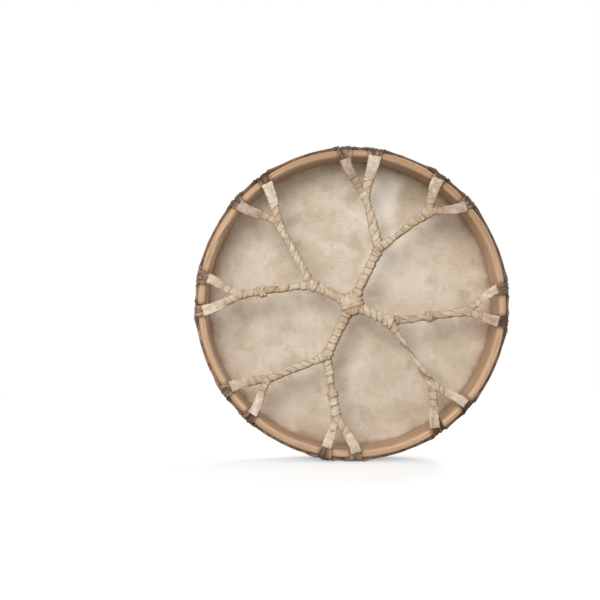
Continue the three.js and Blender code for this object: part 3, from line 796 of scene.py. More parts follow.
def leg_plane(leg):
    """Plan line of a leg, from the slit to the junction."""
    junction, _, _, outward = stem(leg % 8)
    across = np.array([-outward[1], outward[0]])
    angle, radius = math.radians(LEGS[leg].angle), slit_radius(leg)
    start = np.array([radius * math.cos(angle), radius * math.sin(angle)])
    end = junction + across * LEG_SIDE[leg] * 2.2 - outward * 2.0
    reach = np.linalg.norm(end - start)
    straight = unit(end - start)
    turned = LEGS[leg].turned
    start_way = unit(-unit(start) * (1 - turned) + straight * turned)
    end_way = unit(-outward * 0.45 + straight * 0.55)
    return bezier(start, start + start_way * reach * 0.30, end - end_way * reach * 0.30, end, 40)


# ---- head ----
BACK_LEVEL = 62.6  # level, as used below, at which the folded hide reaches the back face
# Rings of the disc inside the gathered part: radius and number of points.
DISC_RINGS = [(0.0, 1), (8.0, 24), (18.0, 48), (32.0, 96), (48.0, 144)]
DISC_RINGS += [(r, 240) for r in (60, 72, 84, 96, 108, 120, 132, 144, 154, 162, 169, 175)]
DISC_RINGS += [(180.0, 480)]


def leg_values(field):
    return np.array([getattr(leg, field) for leg in LEGS])


def head_profile():
    """The hide's outer face from the disc to a tab's tip: length along it, radius and y."""
    points = [(184.0, 0.1), (186.2, 0.06), (187.8, 0.0), (188.9, -0.1), (189.6, -0.18),
              (CREST_R, -0.2)]
    for i in range(1, 10):
        angle = i / 9 * math.pi / 2
        points.append((CREST_R + (SKIRT_R - CREST_R) * math.sin(angle),
                       SHOULDER - (SHOULDER + 0.2) * math.cos(angle)))
    points += [(SKIRT_R, y) for y in (13, 17, 21, 25, 29, 33, 36.5, 39.5, 42, 45, 48, 51, 54)]
    corner = 4.4
    for i in range(1, 8):
        angle = i / 7 * math.pi / 2
        points.append((SKIRT_R - corner + corner * math.cos(angle),
                       55.0 + (TAB_TOP - 55.0) * math.sin(angle)))
    for radius in np.arange(194.2, 180.4, -1.0):
        points.append((radius, TAB_TOP - 0.9 * float(smooth(189.0 - radius, 0.0, 8.5))))
    points = np.array(points)
    steps = np.hypot(*np.diff(points, axis=0).T)
    return np.concatenate([[0], np.cumsum(steps)]), points[:, 0], points[:, 1]


def head_columns():
    """Angles of the mesh columns in degrees: fine across each tab, coarser between."""
    centres = sorted(leg.angle % 360 for leg in LEGS)
    half = 12.0 / SKIRT_R * 180 / math.pi
    columns = []
    for centre, following in zip(centres, centres[1:] + [centres[0] + 360]):
        columns += [centre + d / SKIRT_R * 180 / math.pi for d in np.linspace(-12.0, 12.0, 34)]
        start, stop = centre + half, following - half
        count = max(int(math.ceil((stop - start) / 360 * TAU * SKIRT_R / 2.8)), 2)
        columns += list(start + (stop - start) * np.arange(1, count) / count)
    columns = np.array(sorted(column % 360 for column in columns))
    return columns[np.concatenate([[True], np.diff(columns) > 1e-3])]


def pleats(offset, arc, tab):
    """Gathers: a few uneven folds run up the skirt to each tab, with finer wrinkles between."""
    folds = 0.55 * noise2(offset / 2.6 + 17.3 * tab, arc / 16.0, 36)
    folds = folds + 0.35 * noise2(offset / 1.35 + 7.1 * tab, arc / 9.0, 43)
    for i in range(4):
        centre = lattice(44 + i)[tab] * 6.8 + 1.3 * noise1(arc / 10.0 + 3.3 * tab, 48 + i)
        depth = 0.9 + 0.5 * lattice(52 + i)[tab]
        width = 0.95 + 0.35 * lattice(56 + i)[tab]
        folds = folds - depth * bell((offset - centre) / width)
    return folds


def disc_mesh(outer_angles):
    """Outer face of the disc, and triangles that join its rings to each other and to the
    gathered part's first row, which has the given angles."""
    radii = np.concatenate([np.full(count, float(radius)) for radius, count in DISC_RINGS])
    ring_angles = [np.arange(count) / count * TAU for _, count in DISC_RINGS]
    angles = np.concatenate(ring_angles)
    u, z = radii * np.cos(angles), radii * np.sin(angles)
    wave = 0.12 * noise2(u * 0.018 + 40, z * 0.018 + 40, 41)
    wave = wave + 0.05 * noise2(u * 0.05 + 90, z * 0.05 + 20, 42)
    vertices = place(u, z, 0.1 + wave * (1 - smooth(radii, 150, 183)))
    ring_angles.append(outer_angles)
    firsts = np.cumsum([0] + [len(ring) for ring in ring_angles])
    tris = [(0, 1 + i, 1 + (i + 1) % 24) for i in range(24)]
    for ring in range(1, len(ring_angles) - 1):
        inner, outer = ring_angles[ring], ring_angles[ring + 1]
        inner_first, outer_first = firsts[ring], firsts[ring + 1]
        inner_count, outer_count = len(inner), len(outer)
        i = j = 0
        while i < inner_count or j < outer_count:
            inner_next = inner[(i + 1) % inner_count] + (TAU if i + 1 >= inner_count else 0)
            outer_next = outer[(j + 1) % outer_count] + (TAU if j + 1 >= outer_count else 0)
            here = (inner_first + i % inner_count, outer_first + j % outer_count)
            if j >= outer_count or (i < inner_count and inner_next <= outer_next):
                i += 1
                tris.append((*here, inner_first + i % inner_count))
            else:
                j += 1
                tris.append((*here, outer_first + j % outer_count))
    return vertices, np.array(tris)[:, ::-1]


def make_head():
    arc_p, radius_p, y_p = head_profile()
    arc_42 = float(arc_p[y_p == 42.0][0])
    # Every column's nearest tab, and its distance from it, positive to the pair's outer side.
    columns = head_columns()
    turn = columns / 360
    offsets = np.array([offset_round(columns, leg.angle, SKIRT_R) * side
                        for leg, side in zip(LEGS, LEG_SIDE)])
    tab = np.abs(offsets).argmin(0)
    offset = offsets[tab, np.arange(len(columns))]
    away = np.abs(offset)
    half = leg_values("half")[tab]
    # The hide ends at a tab's tip, or between tabs in a scalloped free edge.
    free_y = 52.2 + 1.3 * noise1(turn * 23, 20, 23) + 0.5 * noise1(turn * 70, 21, 70)
    fall = np.where(offset > 0, 9.0, 6.0)
    scallop = arc_42 + free_y + (56.8 - free_y) * np.exp(-np.maximum(away - 9.0, 0) / fall) - 42
    tip = arc_p[-1] - 0.6 - 1.0 * (away / 7.0) ** 2 + 0.5 * noise1(columns * 2.2, 22)
    between = smooth(away, half - 1.4, half + 0.3)
    arc_end = tip * (1 - between) + scallop * between
    # Rows at fixed lengths as far as y 42, then 31 rows spread to the end of each column.
    fixed = np.append(arc_p[:15], arc_42 + np.array([13, 18, 22.5, 26, 29.5, 33, 36.5, 39.5]) - 42)
    spread = np.arange(31) / 30
    arc = np.concatenate([np.repeat(fixed[:, None], len(columns), 1),
                          arc_42 + spread[:, None] * (arc_end - arc_42)[None, :]])
    level = arc - arc_42 + 42  # equals y on the skirt, and runs on over the fold
    radius = np.interp(arc, arc_p, radius_p)
    y = np.interp(arc, arc_p, y_p)
    slope_r, slope_y = (np.interp(arc + 0.05, arc_p, values) - np.interp(arc - 0.05, arc_p, values)
                        for values in (radius_p, y_p))
    slope = np.hypot(slope_r, slope_y) + 1e-12
    normal_r, normal_y = slope_y / slope, -slope_r / slope
    to_edge = arc_end - arc

    # Each tab's gathered hide stands proud of the skirt, and more so towards the back.
    rise = smooth(level, 20, 50)
    over = 1 - 0.90 * smooth(level, 54, BACK_LEVEL)
    side = np.where(offset > 0, bell(np.maximum(away - 7, 0) / (9 + 4 * lattice(31)[tab])),
                    bell(np.maximum(away - 6, 0) / 6))
    lump = 1 + 0.30 * noise2(columns * 0.45, arc * 0.12, 33)
    lump = lump + 0.12 * noise2(columns * 1.1, arc * 0.2, 34)
    ear = (3.9 + 0.5 * lattice(32)[tab]) * leg_values("proud")[tab] * rise * over * side * lump
    # The free edge of the skirt dried away from the wood, so it flares all the way round.
    free = smooth(away, half - 1.5, half + 1.5)
    flare = smooth(16 - to_edge, 0, 16) * free
    ear += flare * (2.1 + 0.25 * noise1(columns * 0.25, 39)) * (1 - 0.6 * side)
    roll = bell(to_edge / 2.2) * free
    near_tab = bell(np.maximum(away - 10, 0) / np.where(offset > 0, 15, 7))
    ear += roll * (0.25 + 0.7 * near_tab) * (0.8 + 0.3 * noise1(columns * 0.5, 35))

    fan = np.where(level < 50, 1 + (50 - level) / 44.0, 1.0)
    pleat = pleats(offset / fan, arc, tab)
    gathered = smooth(level, 12, 38) * bell(np.maximum(away / fan - half + 0.8, 0) / 3.4)
    depth = np.where(level > BACK_LEVEL - 3, 0.52, 0.78)
    raised = ear + depth * gathered * pleat
    raised += 0.28 * smooth(level, 9, 20) * noise2(columns * 0.35, arc * 0.04, 37)
    quiet = smooth(arc, fixed[5], fixed[10])
    raised = raised * quiet
    # A tab narrows as it comes over the rim, and leans the way its strap pulls.
    squeeze = 1 - 0.08 * smooth(level, 46, BACK_LEVEL)
    squeeze = squeeze - 0.30 * smooth(level, BACK_LEVEL - 1, BACK_LEVEL + 8)
    squeeze = 1 - (1 - squeeze) * np.exp(-np.maximum(away - half, 0) / 5)
    lean = []
    for leg in range(16):
        plan = leg_plane(leg)
        way, inward = unit(plan[1] - plan[0]), unit(-plan[0])
        lean.append(math.asin(float(np.clip(inward[0] * way[1] - inward[1] * way[0], -1, 1))))
    swing = -np.tan(np.array(lean)[tab]) * np.maximum(195.5 - radius, 0) / 190.0
    swing = swing * (level > BACK_LEVEL - 6) * (away < half + 0.3)
    angle = np.radians(columns) + offset * (squeeze - 1) * LEG_SIDE[tab] / SKIRT_R + swing
    # The inner face follows only the highest lifts of the skirt: folded hide is solid there.
    lift = np.maximum(ear * quiet - 3.2, 0) * 0.7 * (1 - smooth(level, 53, BACK_LEVEL - 3))
    # The free edge is rounded over.
    bend = np.clip((1.7 - to_edge) / 1.7, 0, 1) * free
    thickness = np.maximum(raised + HIDE - lift, 0)
    raised = raised - (1 - np.sqrt(1 - 0.96 * bend ** 2)) * 0.82 * thickness

    def face(height):
        face_r = radius + normal_r * height
        return place(face_r * np.cos(angle), face_r * np.sin(angle),
                     y + normal_y * height).reshape(-1, 3)

    # Darkness: the shoulder a little, the skirt more, the tabs and free edges most; at the free edges
    # it is also painted shade.
    skirt_y = np.where(arc < arc_42 + (SHOULDER - 42.0), 0, level)
    dark = 0.10 * smooth(arc, fixed[4], fixed[9]) + 0.22 * smooth(skirt_y, 9, 24)
    dark += 0.26 * smooth(skirt_y, 24, 46) + 0.50 * gathered * smooth(skirt_y, 16, 44)
    dark += 0.30 * np.clip(ear / 3.0, 0, 1) + 0.45 * bell(to_edge / 4.0)
    dark += 0.14 * noise2(columns * 0.25, arc * 0.08, 38) * smooth(skirt_y, 5, 12)
    dark = np.clip(dark, 0, 1)
    # Painted shade in the folds of the gathers and painted highlight on their ridges, carried to the
    # material as pleat.
    pleat_shade_and_highlight = np.clip(pleat * gathered * (0.4 + 0.6 * smooth(skirt_y, 20, 45)), -1, 1)
    tint = 0.5 + (leg_values("tint")[tab] - 0.5) * bell(np.maximum(away - 9, 0) / 6)

    disc, tris = disc_mesh(np.radians(columns))
    first, rows = len(disc), len(arc)
    outer_face = np.concatenate([disc, face(raised)])
    inner_face = np.concatenate([disc + [0, HIDE, 0], face(lift - HIDE)])
    total = len(outer_face)
    quads = grid_quads(rows, len(columns), base=first)

    def corners(field):
        return np.broadcast_to(field, arc.shape).ravel()[quads - first]

    # The slit that the lace passes through, in each tab.
    slit_r = np.array([slit_radius(leg) for leg in range(16)])[tab]
    slit_half = (leg_values("width") / 2)[tab]
    from_slit = corners(radius).mean(1) - corners(slit_r)[:, 0]
    slit = (corners(level).mean(1) > BACK_LEVEL) & (np.abs(from_slit) < 1.35)
    slit &= corners(away * squeeze).max(1) < corners(slit_half)[:, 0] * 0.74
    slit &= corners(away).max(1) < corners(half).min(1) - 2.2
    slit &= corners(to_edge).min(1) > 1.1
    # Where two openings would meet only at a corner, the faces between them go too.
    cut = slit.reshape(rows - 1, len(columns))
    for _ in range(3):
        here, above = cut[:-1], cut[1:]
        beside, across = np.roll(cut, -1, 1)[:-1], np.roll(cut, -1, 1)[1:]
        cut[:-1] |= ~here & beside & above & ~across
        cut[1:] |= here & ~beside & ~above & across
    quads = quads[~cut.ravel()]
    # Walls along every open edge join the outer face to the inner one.
    edges = np.concatenate([quads[:, [i, (i + 1) % 4]] for i in range(4)]
                           + [tris[:, [i, (i + 1) % 3]] for i in range(3)])
    _, inverse, counts = np.unique(np.sort(edges, 1), axis=0, return_inverse=True,
                                   return_counts=True)
    start, end = edges[counts[inverse.ravel()] == 1].T
    walls = np.stack([end, start, start + total, end + total], -1)
    inner_material = np.where(corners(skirt_y).mean(1) > 12, 0, 1)
    material = np.concatenate([np.zeros(len(quads)), inner_material, np.zeros(len(walls)),
                               np.zeros(len(tris)), np.ones(len(tris))])
    dark, pleat_shade_and_highlight, tint = (
        np.concatenate([np.full(first, value), field.ravel()])
        for value, field in ((0, dark), (0, pleat_shade_and_highlight), (0.5, np.broadcast_to(tint, arc.shape))))
    build = Build()
    build.add(np.concatenate([outer_face, inner_face]),
              np.concatenate([quads, quads[:, ::-1] + total, walls]),
              np.concatenate([tris, tris[:, ::-1] + total]), material,
              # The skirt's inner face, facing the hoop, is darker still: painted shade.
              dark=np.concatenate([dark, np.clip(dark + 0.2 * (dark > 0.3), 0, 1)]),
              pleat=np.concatenate([pleat_shade_and_highlight, -0.3 * (dark > 0.3)]),
              tint=np.concatenate([tint, tint]))
    build.make("drumhead_rawhide", [HIDE_OUT, HIDE_IN], "drumhead", "drum_hide", sharp=60)


# ---- paths of the lacing ----
AXIS = np.array([0.0, 1.0, 0.0])


class Path:
    """A line in space with a side direction that stays in the plane of the lacing."""

    def __init__(self, points):
        self.stations = lengths_along(points)
        self.length = self.stations[-1]
        self.tangents = unit(np.gradient(points, self.stations, axis=0))
        sides = unit(np.cross(AXIS, self.tangents))
        ups = unit(np.cross(self.tangents, sides))
        self.fields = (points, self.tangents, sides, ups)

    def at(self, station):
        """Point, tangent, side and up at each station; beyond the ends it goes straight on."""
        station = np.asarray(station, float)
        point, tangent, side, up = (
            np.stack([np.interp(station, self.stations, field[:, i]) for i in range(3)], -1)
            for field in self.fields)
        point = point + np.maximum(station - self.length, 0)[..., None] * self.tangents[-1]
        point = point + np.minimum(station, 0)[..., None] * self.tangents[0]
        return point, unit(tangent), unit(side), unit(up)


def radial_path(direction, distances, y):
    plan = direction * distances[:, None]
    return Path(place(plan[:, 0], plan[:, 1], y))


def leg_height(leg, run, length):
    level = LACE_Y + SPOKES[leg % 8].level
    return LEG_LOW + (level - LEG_LOW) * smooth(run, 6.0, length)


def leg_path(leg):
    """Line of a leg's winding, a little above its strap."""
    plan = leg_plane(leg)
    run = lengths_along(plan)
    lift = 0.9 * (1 - 0.6 * smooth(run, 0, run[-1]))
    return Path(place(plan[:, 0], plan[:, 1], leg_height(leg, run, run[-1]) + lift))


def stem_path(spoke, start, beyond):
    """Slightly wavering line of a spoke, from start past its merge to beyond its junction."""
    _, merge, length, outward = stem(spoke)
    across = np.array([-outward[1], outward[0]])
    run = np.linspace(start, length + beyond, 48)
    sway = 1.1 * noise1(run / 19.0, 50 + spoke) * np.sin(np.clip(run / length, 0, 1) * math.pi)
    plan = merge + outward * run[:, None] + across * sway[:, None]
    y = LACE_Y + SPOKES[spoke].level + 0.4 * noise1(run / 15.0, 60 + spoke)
    return Path(place(plan[:, 0], plan[:, 1], y))


# ---- strips ----
# Section of a strip, going round once: place across (-1 to 1) and through (0 to 1).
FLAT = np.linspace(-0.94, 0.94, 5)
SECTION = np.array([(v, 1.0 - 0.18 * v ** 4) for v in FLAT] + [(1.0, 0.5)]
                   + [(v, 0.10 * v ** 4) for v in FLAT[::-1]] + [(-1.0, 0.5)])
ACROSS, THROUGH = SECTION.T


def add_strip(build, rings, length, across, turn, tone):
    """A strip from its rings of points, closed at both ends."""
    count, around, _ = rings.shape
    ends = [0, -1]
    length, tone = (np.broadcast_to(values, count) for values in (length, tone))
    build.add(*capped(rings),
              len=np.concatenate([np.repeat(length, around), length[ends]]),
              acr=np.concatenate([np.tile(across, count), [0, 0]]),
              turn=turn,
              tone=np.concatenate([np.repeat(tone, around), tone[ends]]))


def band(build, centre, way, half_span, half_depth, strip, thickness, seed, offset=0.0, tilt=0.0,
         tone=0.0, steps=36, lift=0.0, square=0.8):
    """One closed turn of a strip round a crossing. The turn spans the in-plane direction
    way (x, z), and the strip's width lies along the other in-plane direction."""
    random = np.random.RandomState(seed)
    way = unit(np.array([way[0], 0, way[1]]))
    sideways = unit(np.cross(AXIS, way))
    angle = np.arange(steps) / steps * TAU + random.uniform(0, TAU)
    cosine, sine = np.cos(angle), np.sin(angle)
    width = strip * (1 + 0.14 * noise1(cosine * 2 + 5, seed + 1))
    out = THROUGH * thickness
    out = out + 0.12 * noise2(cosine[:, None] * 3 + 9, ACROSS * 2 + 3, seed + 2)
    out = out - 0.12 * thickness * np.abs(ACROSS) ** 2
    cosine = (np.sign(cosine) * np.abs(cosine) ** square)[:, None]
    sine = (np.sign(sine) * np.abs(sine) ** square)[:, None]
    across = ACROSS * width[:, None] / 2 + offset + tilt * half_span * cosine
    points = (np.asarray(centre, float) + way * ((half_span + lift + out) * cosine)[..., None]
              + AXIS * ((half_depth + lift + out) * sine)[..., None]
              + sideways * across[..., None])
    around = len(SECTION)
    length = np.arange(steps) / steps * 2 * (half_span + half_depth) * MM
    build.add(points, grid_quads(steps, around, wrap_rows=True),
              len=np.repeat(length, around) + 0.41 * (seed % 89),
              acr=np.tile(ACROSS * 0.8, steps), turn=3.7 * (seed % 61), tone=tone)


# ---- laces: eight passes, each from one tab to the opposite one ----
def half_lace(leg):
    """Centre line of a lace from its tail, out over the tab, back through the slit and along
    the leg, with the side direction, width and thickness at each point."""
    plan = leg_plane(leg)
    run = lengths_along(plan)
    length = run[-1]
    first_way = unit(plan[1] - plan[0])
    top = TAB_TOP + 1.0
    reach = LEGS[leg].end - slit_radius(leg)
    bight = reach > 2.2  # a long end is doubled back on the tab

    def in_plan(station):
        inside = np.stack([np.interp(station, run, plan[:, i]) for i in range(2)], -1)
        return inside + np.minimum(station, 0)[..., None] * first_way

    def low(station):
        return leg_height(leg, station, length)

    tail = min(0.62 * length, 24.0)
    high = top + (1.45 if bight else 0.0)
    middle, drop = (top + LEG_LOW) / 2, (top - LEG_LOW) / 2
    line = []  # station along the leg, and y
    for s in np.linspace(tail, 1.6, 16):
        above = low(s) + 1.7
        line.append((s, above + (high - above) * (1 - smooth(s, 2.0, tail * 0.95))))
    if bight:
        line += [(s, high) for s in np.linspace(0.4, 1.4 - reach, 4)]
        for angle in np.linspace(0.35, math.pi - 0.35, 5):
            line.append((0.75 - reach - 0.75 * math.sin(angle),
                         (high + top) / 2 + (high - top) / 2 * math.cos(angle)))
        line += [(s, top) for s in np.linspace(1.4 - reach, -1.3, 3)]
        for angle in np.linspace(0.3, math.pi - 0.2, 6):
            line.append((-0.55 + 0.55 * (1 - math.cos(angle)) * 0.9,
                         middle + drop * math.cos(angle)))
    else:
        for angle in np.linspace(0.25, math.pi - 0.25, 7):
            line.append((0.9 - (0.9 + reach) * math.sin(angle), middle + drop * math.cos(angle)))
    folded = len(line)
    line += [(s, float(low(s))) for s in np.linspace(1.8, length, 34)]
    station, y = np.array(line).T
    at = in_plan(station)
    # Heading of the strip in plan, always from the rim to the junction.
    clipped = np.clip(station, 0, length)
    ahead = unit(in_plan(np.minimum(clipped + 0.6, length)) - in_plan(np.maximum(clipped - 0.6, 0)))
    side = unit(np.cross(AXIS, place(ahead[:, 0], ahead[:, 1], 0.0)))
    part = np.clip(station / length, 0, 1)
    full = LEGS[leg].width
    body = full * (1 - 0.26 * smooth(part, -0.25, 0.75))
    body = body + (8.4 - body) * smooth(part, 0.6, 1.0)
    # Full width above the tab, narrower through the slit and under it.
    index = np.arange(len(station))
    narrow = np.minimum(body, full * 0.76) * (0.96 if bight else 0.98)
    width = np.where(index < (23 if bight else 20), body, narrow)
    width = np.where(index >= folded, body * 0.93, width)
    thickness = np.where(index < folded, 1.2, 1.35 + 0.8 * smooth(part, 0.7, 1.0))
    return place(at[:, 0], at[:, 1], y), side, width, thickness


def stem_points(leg):
    """Run of a lace inside its windings, from the junction to the drum's centre."""
    _, merge, distance, outward = stem(leg % 8)
    line = [merge + outward * s for s in np.linspace(distance - 6, 16, 16)]
    start, end = merge + outward * 16, merge - unit(merge) * 16
    for s in np.linspace(0, 1, 8)[1:]:
        line.append((1 - s) ** 2 * start + 2 * s * (1 - s) * merge + s * s * end)
    line += [end * s for s in np.linspace(0.8, 0.0, 5)]
    line = np.array(line)
    way = unit(np.gradient(line, axis=0))
    line = line - np.stack([-way[:, 1], way[:, 0]], -1) * 1.2 * LEG_SIDE[leg]
    return place(line[:, 0], line[:, 1], LACE_Y + SPOKES[leg % 8].level)


def make_lace(index, near, far):
    near_points, near_side, near_width, near_thick = half_lace(near)
    far_points, far_side, far_width, far_thick = half_lace(far)
    middle = np.concatenate([stem_points(near), stem_points(far)[::-1][1:]])
    points = np.concatenate([near_points, middle, far_points[::-1]])
    near_count, far_count = len(near_points), len(far_points)

    def spread(near_value, middle_value, far_value):
        """A value for each point: along the near leg, in the middle, along the far leg."""
        return np.concatenate([np.broadcast_to(near_value, near_count),
                               np.full(len(middle), middle_value),
                               np.broadcast_to(far_value, far_count)])

    width = spread(near_width, 2.2, far_width[::-1])
    thickness = spread(near_thick, 1.8, far_thick[::-1])
    on_leg = spread(1.0, 0.0, 1.0)
    ruffle = spread(LEGS[near].ruffle, 0.0, LEGS[far].ruffle)
    tangent = unit(np.gradient(points, axis=0))
    side = unit(np.cross(AXIS, tangent))
    side[:near_count] = near_side
    side[-far_count:] = -far_side[::-1]
    for i in range(1, len(side)):
        if (side[i] * side[i - 1]).sum() < 0:
            side[i] *= -1
    up = unit(np.cross(tangent, side))
    side = unit(np.cross(up, tangent))
    through = THROUGH - 0.5
    seed = 700 + index * 13
    run = lengths_along(points)
    column = run[:, None]
    waver = 1 + 0.04 * noise1(run / 4.6, seed) * on_leg + 0.02 * noise1(run / 1.5, seed + 1) * on_leg
    leg_column = on_leg[:, None]
    edge = 0.45 * noise2(column / 2.4, np.sign(ACROSS) * 5.1, seed + 2)
    edge = edge * (np.abs(ACROSS) > 0.6) * leg_column
    zigzag = np.abs(np.mod(run / 3.4 + 0.25 * noise1(run / 5.0, seed + 9), 1.0) - 0.5) * 4 - 1
    ruffled = (ruffle * zigzag)[:, None]
    edge = edge + 1.25 * ruffled * ACROSS ** 2 * np.sign(ACROSS) * leg_column
    # Creases across the strap: its face dips along lines that do not reach straight across.
    crease = 0.38 * noise2(column / 1.5 + ACROSS * 0.5, ACROSS * 1.2, seed + 5)
    crease = crease + 0.22 * noise2(column / 0.8 + ACROSS * 0.8, ACROSS * 0.7, seed + 6)
    crease = (crease + 0.9 * ruffled * (ACROSS ** 2 + 0.2)) * leg_column
    cup = 0.3 * ACROSS ** 2 * (width[:, None] / 12) * leg_column
    sideways = ACROSS * (width * waver)[:, None] / 2 + edge
    upwards = through * thickness[:, None] + np.where(through > 0, 1, 0.5) * crease - cup
    rings = (points[:, None, :] + side[:, None, :] * sideways[..., None]
             + up[:, None, :] * upwards[..., None])
    build = Build()
    add_strip(build, rings, run * MM + index * 0.7, ACROSS * 0.6 + 0.15, 1.7 * index,
              spread(LEGS[near].tone, 0.0, LEGS[far].tone))
    build.make(f"lace_{index + 1}", [LACE], f"lace_pass_{index + 1}", "rawhide_lace", sharp=60)


# ---- bindings ----
# A binding is one skin over everything it is wound round. The bodies are joined, the skin's
# forks are drawn smooth, and then the lapped turns of the strip are raised on it along a helix
# about the nearest line.
def tube(path, start, stop, half_width, half_depth):
    """A rounded body along a path; its half sizes are functions of the station."""
    station = np.linspace(start, stop, max(int(stop - start), 2) + 1)
    point, _, side, up = path.at(station)
    angle = np.arange(20) / 20 * TAU
    cosine, sine = (np.sign(v) * np.abs(v) ** 0.85 for v in (np.cos(angle), np.sin(angle)))
    return capped(point[:, None]
                  + side[:, None] * (cosine * half_width(station)[:, None])[..., None]
                  + up[:, None] * (sine * half_depth(station)[:, None])[..., None])


class Limb:
    """A wound body. lap: height of a lap. phase, skew: shift and slant of the turns.
    groove: depth of the gap between turns. tone: a number or a function of the station."""

    def __init__(self, path, start, stop, half_width, half_depth, *, pitch, hand, tone, phase,
                 skew, lap, starts=1, groove=0.0):
        self.body = tube(path, start, stop, half_width, half_depth)
        self.pitch, self.hand, self.phase, self.skew = pitch, hand, phase, skew
        self.lap, self.starts, self.groove = lap, starts, groove
        self.stations = np.arange(start, stop + 0.01, 0.5)
        self.points, self.tangents, self.sides, self.ups = path.at(self.stations)
        self.widths, self.depths = half_width(self.stations), half_depth(self.stations)
        self.tone = tone


def joined(parts):
    """One closed surface round all the parts, its hollows and forks drawn smooth, in mm."""
    voxel, rounds = 0.62, 16
    build = Build()
    for part in parts:
        build.add(*part)
    mesh = bpy.data.meshes.new("parts")
    faces = np.concatenate(build.quads).tolist() + np.concatenate(build.tris).tolist()
    mesh.from_pydata(np.concatenate(build.vertices).tolist(), [], faces)
    ob = bpy.data.objects.new("parts", mesh)
    bpy.context.scene.collection.objects.link(ob)
    remesh = ob.modifiers.new("remesh", "REMESH")
    remesh.mode, remesh.voxel_size = "VOXEL", voxel
    depsgraph = bpy.context.evaluated_depsgraph_get()
    result = bpy.data.meshes.new_from_object(ob.evaluated_get(depsgraph))
    count = len(result.vertices)
    vertices = np.empty(count * 3)
    result.vertices.foreach_get("co", vertices)
    vertices = vertices.reshape(-1, 3)
    faces = [tuple(polygon.vertices) for polygon in result.polygons]
    quads = np.array([face for face in faces if len(face) == 4], int).reshape(-1, 4)
    tris = np.array([face for face in faces if len(face) == 3], int).reshape(-1, 3)
    edges = np.empty(len(result.edges) * 2, np.int32)
    result.edges.foreach_get("vertices", edges)
    start, end = edges.reshape(-1, 2).T
    bpy.data.objects.remove(ob)
    bpy.data.meshes.remove(mesh)
    bpy.data.meshes.remove(result)
    # Smoothing steps in and out by turns, so that the surface keeps its size.
    neighbours = np.bincount(edges, minlength=count).astype(float)[:, None]
    for i in range(rounds):
        total = np.stack([np.bincount(start, vertices[end, axis], count)
                          + np.bincount(end, vertices[start, axis], count)
                          for axis in range(3)], -1)
        vertices = vertices + (total / neighbours - vertices) * (0.62 if i % 2 == 0 else -0.52)
    return vertices, quads, tris


def vertex_normals(vertices, quads, tris):
    total = np.zeros_like(vertices)
    for faces in (quads[:, [0, 1, 2]], quads[:, [0, 2, 3]], tris):
        first, second, third = (vertices[faces[:, i]] for i in range(3))
        normal = np.cross(second - first, third - first)
        for corner in range(3):
            for axis in range(3):
                total[:, axis] += np.bincount(faces[:, corner], normal[:, axis], len(vertices))
    return unit(total)


def winding(limb, number, vertices, seed):
    """For each vertex: its distance from a limb's line in half-widths, then the raise of the
    limb's winding there and the attributes acr, len, turn and tone."""
    nearest = np.zeros(len(vertices), int)
    for i in range(0, len(vertices), 8000):
        gaps = vertices[i:i + 8000, None, :] - limb.points[None]
        nearest[i:i + 8000] = (gaps ** 2).sum(-1).argmin(1)
    away = vertices - limb.points[nearest]
    ahead = (away * limb.tangents[nearest]).sum(-1)
    side = (away * limb.sides[nearest]).sum(-1) / limb.widths[nearest]
    up = (away * limb.ups[nearest]).sum(-1) / limb.depths[nearest]
    at_end = (nearest == 0) | (nearest == len(limb.stations) - 1)
    distance = np.hypot(side, up) + np.where(at_end, np.abs(ahead) / 3.0, 0)
    angle = np.arctan2(up, side)
    cosine, sine = np.cos(angle), np.sin(angle)
    station = limb.stations[nearest] + np.clip(ahead, -1, 1)
    # Turns are counted along the helix; the fraction is the place across the strip.
    advance = limb.pitch / limb.starts
    uneven = station + 0.40 * advance * noise1(station / (1.7 * advance) + 5.1 * number,
                                               seed + 3 + number)
    ragged = 0.07 * noise2(station / 2.6 + 31, cosine * 2.2 + sine * 0.9 + 9 * number,
                           seed + 40 + number)
    ragged = ragged + 0.03 * noise2(station / 0.9 + 11, cosine * 5 + sine * 3, seed + 60 + number)
    turns = limb.starts * (uneven / limb.pitch - limb.hand * angle / TAU)
    turns = turns + ragged * min(limb.starts, 1.5) + limb.phase + limb.skew * cosine
    whole = np.floor(turns)
    part = turns - whole
    along = whole / limb.starts + limb.hand * angle / TAU
    strip = np.mod(whole, limb.starts) * 17.3 + 7.9 * number
    lap = limb.lap * (0.70 + 0.50 * noise1(along * 1.3 + strip, seed + 80))
    step = 0.55 * limb.starts / limb.pitch  # width of the lap's step, as a share of a turn
    raised = lap * (np.where(part < 1 - step, part / (1 - step), (1 - part) / step) - 0.5)
    raised += 0.16 * bell((1 - step - part) / (0.9 * step + 0.05))
    raised += 0.14 * noise2(along * 8.0 + strip, part * 1.6 + 3, seed + 90)
    raised += 0.09 * noise2(along * 22.0 + strip, part * 2.4, seed + 91)
    raised += 0.34 * noise2(station / 5.0, cosine * 1.3 + 4 * number, seed + 92)
    raised += 0.13 * noise2(station / 1.3, cosine * 0.9 + 8 * number, seed + 93)
    gap = limb.groove * bell(np.minimum(part, 1 - part) / 0.13)
    raised -= 0.55 * gap
    across = (part * 2 - 1) * (1 - gap) - 1.2 * gap
    girth = (limb.widths[nearest] + limb.depths[nearest]) * 3.14
    length = along * girth * MM + strip
    turn = strip + np.floor(along + 0.5) * 0.37 + 3.1 * (seed % 53)
    tone = limb.tone(station) if callable(limb.tone) else limb.tone
    return distance, np.stack(np.broadcast_arrays(raised, across, length, turn, tone))


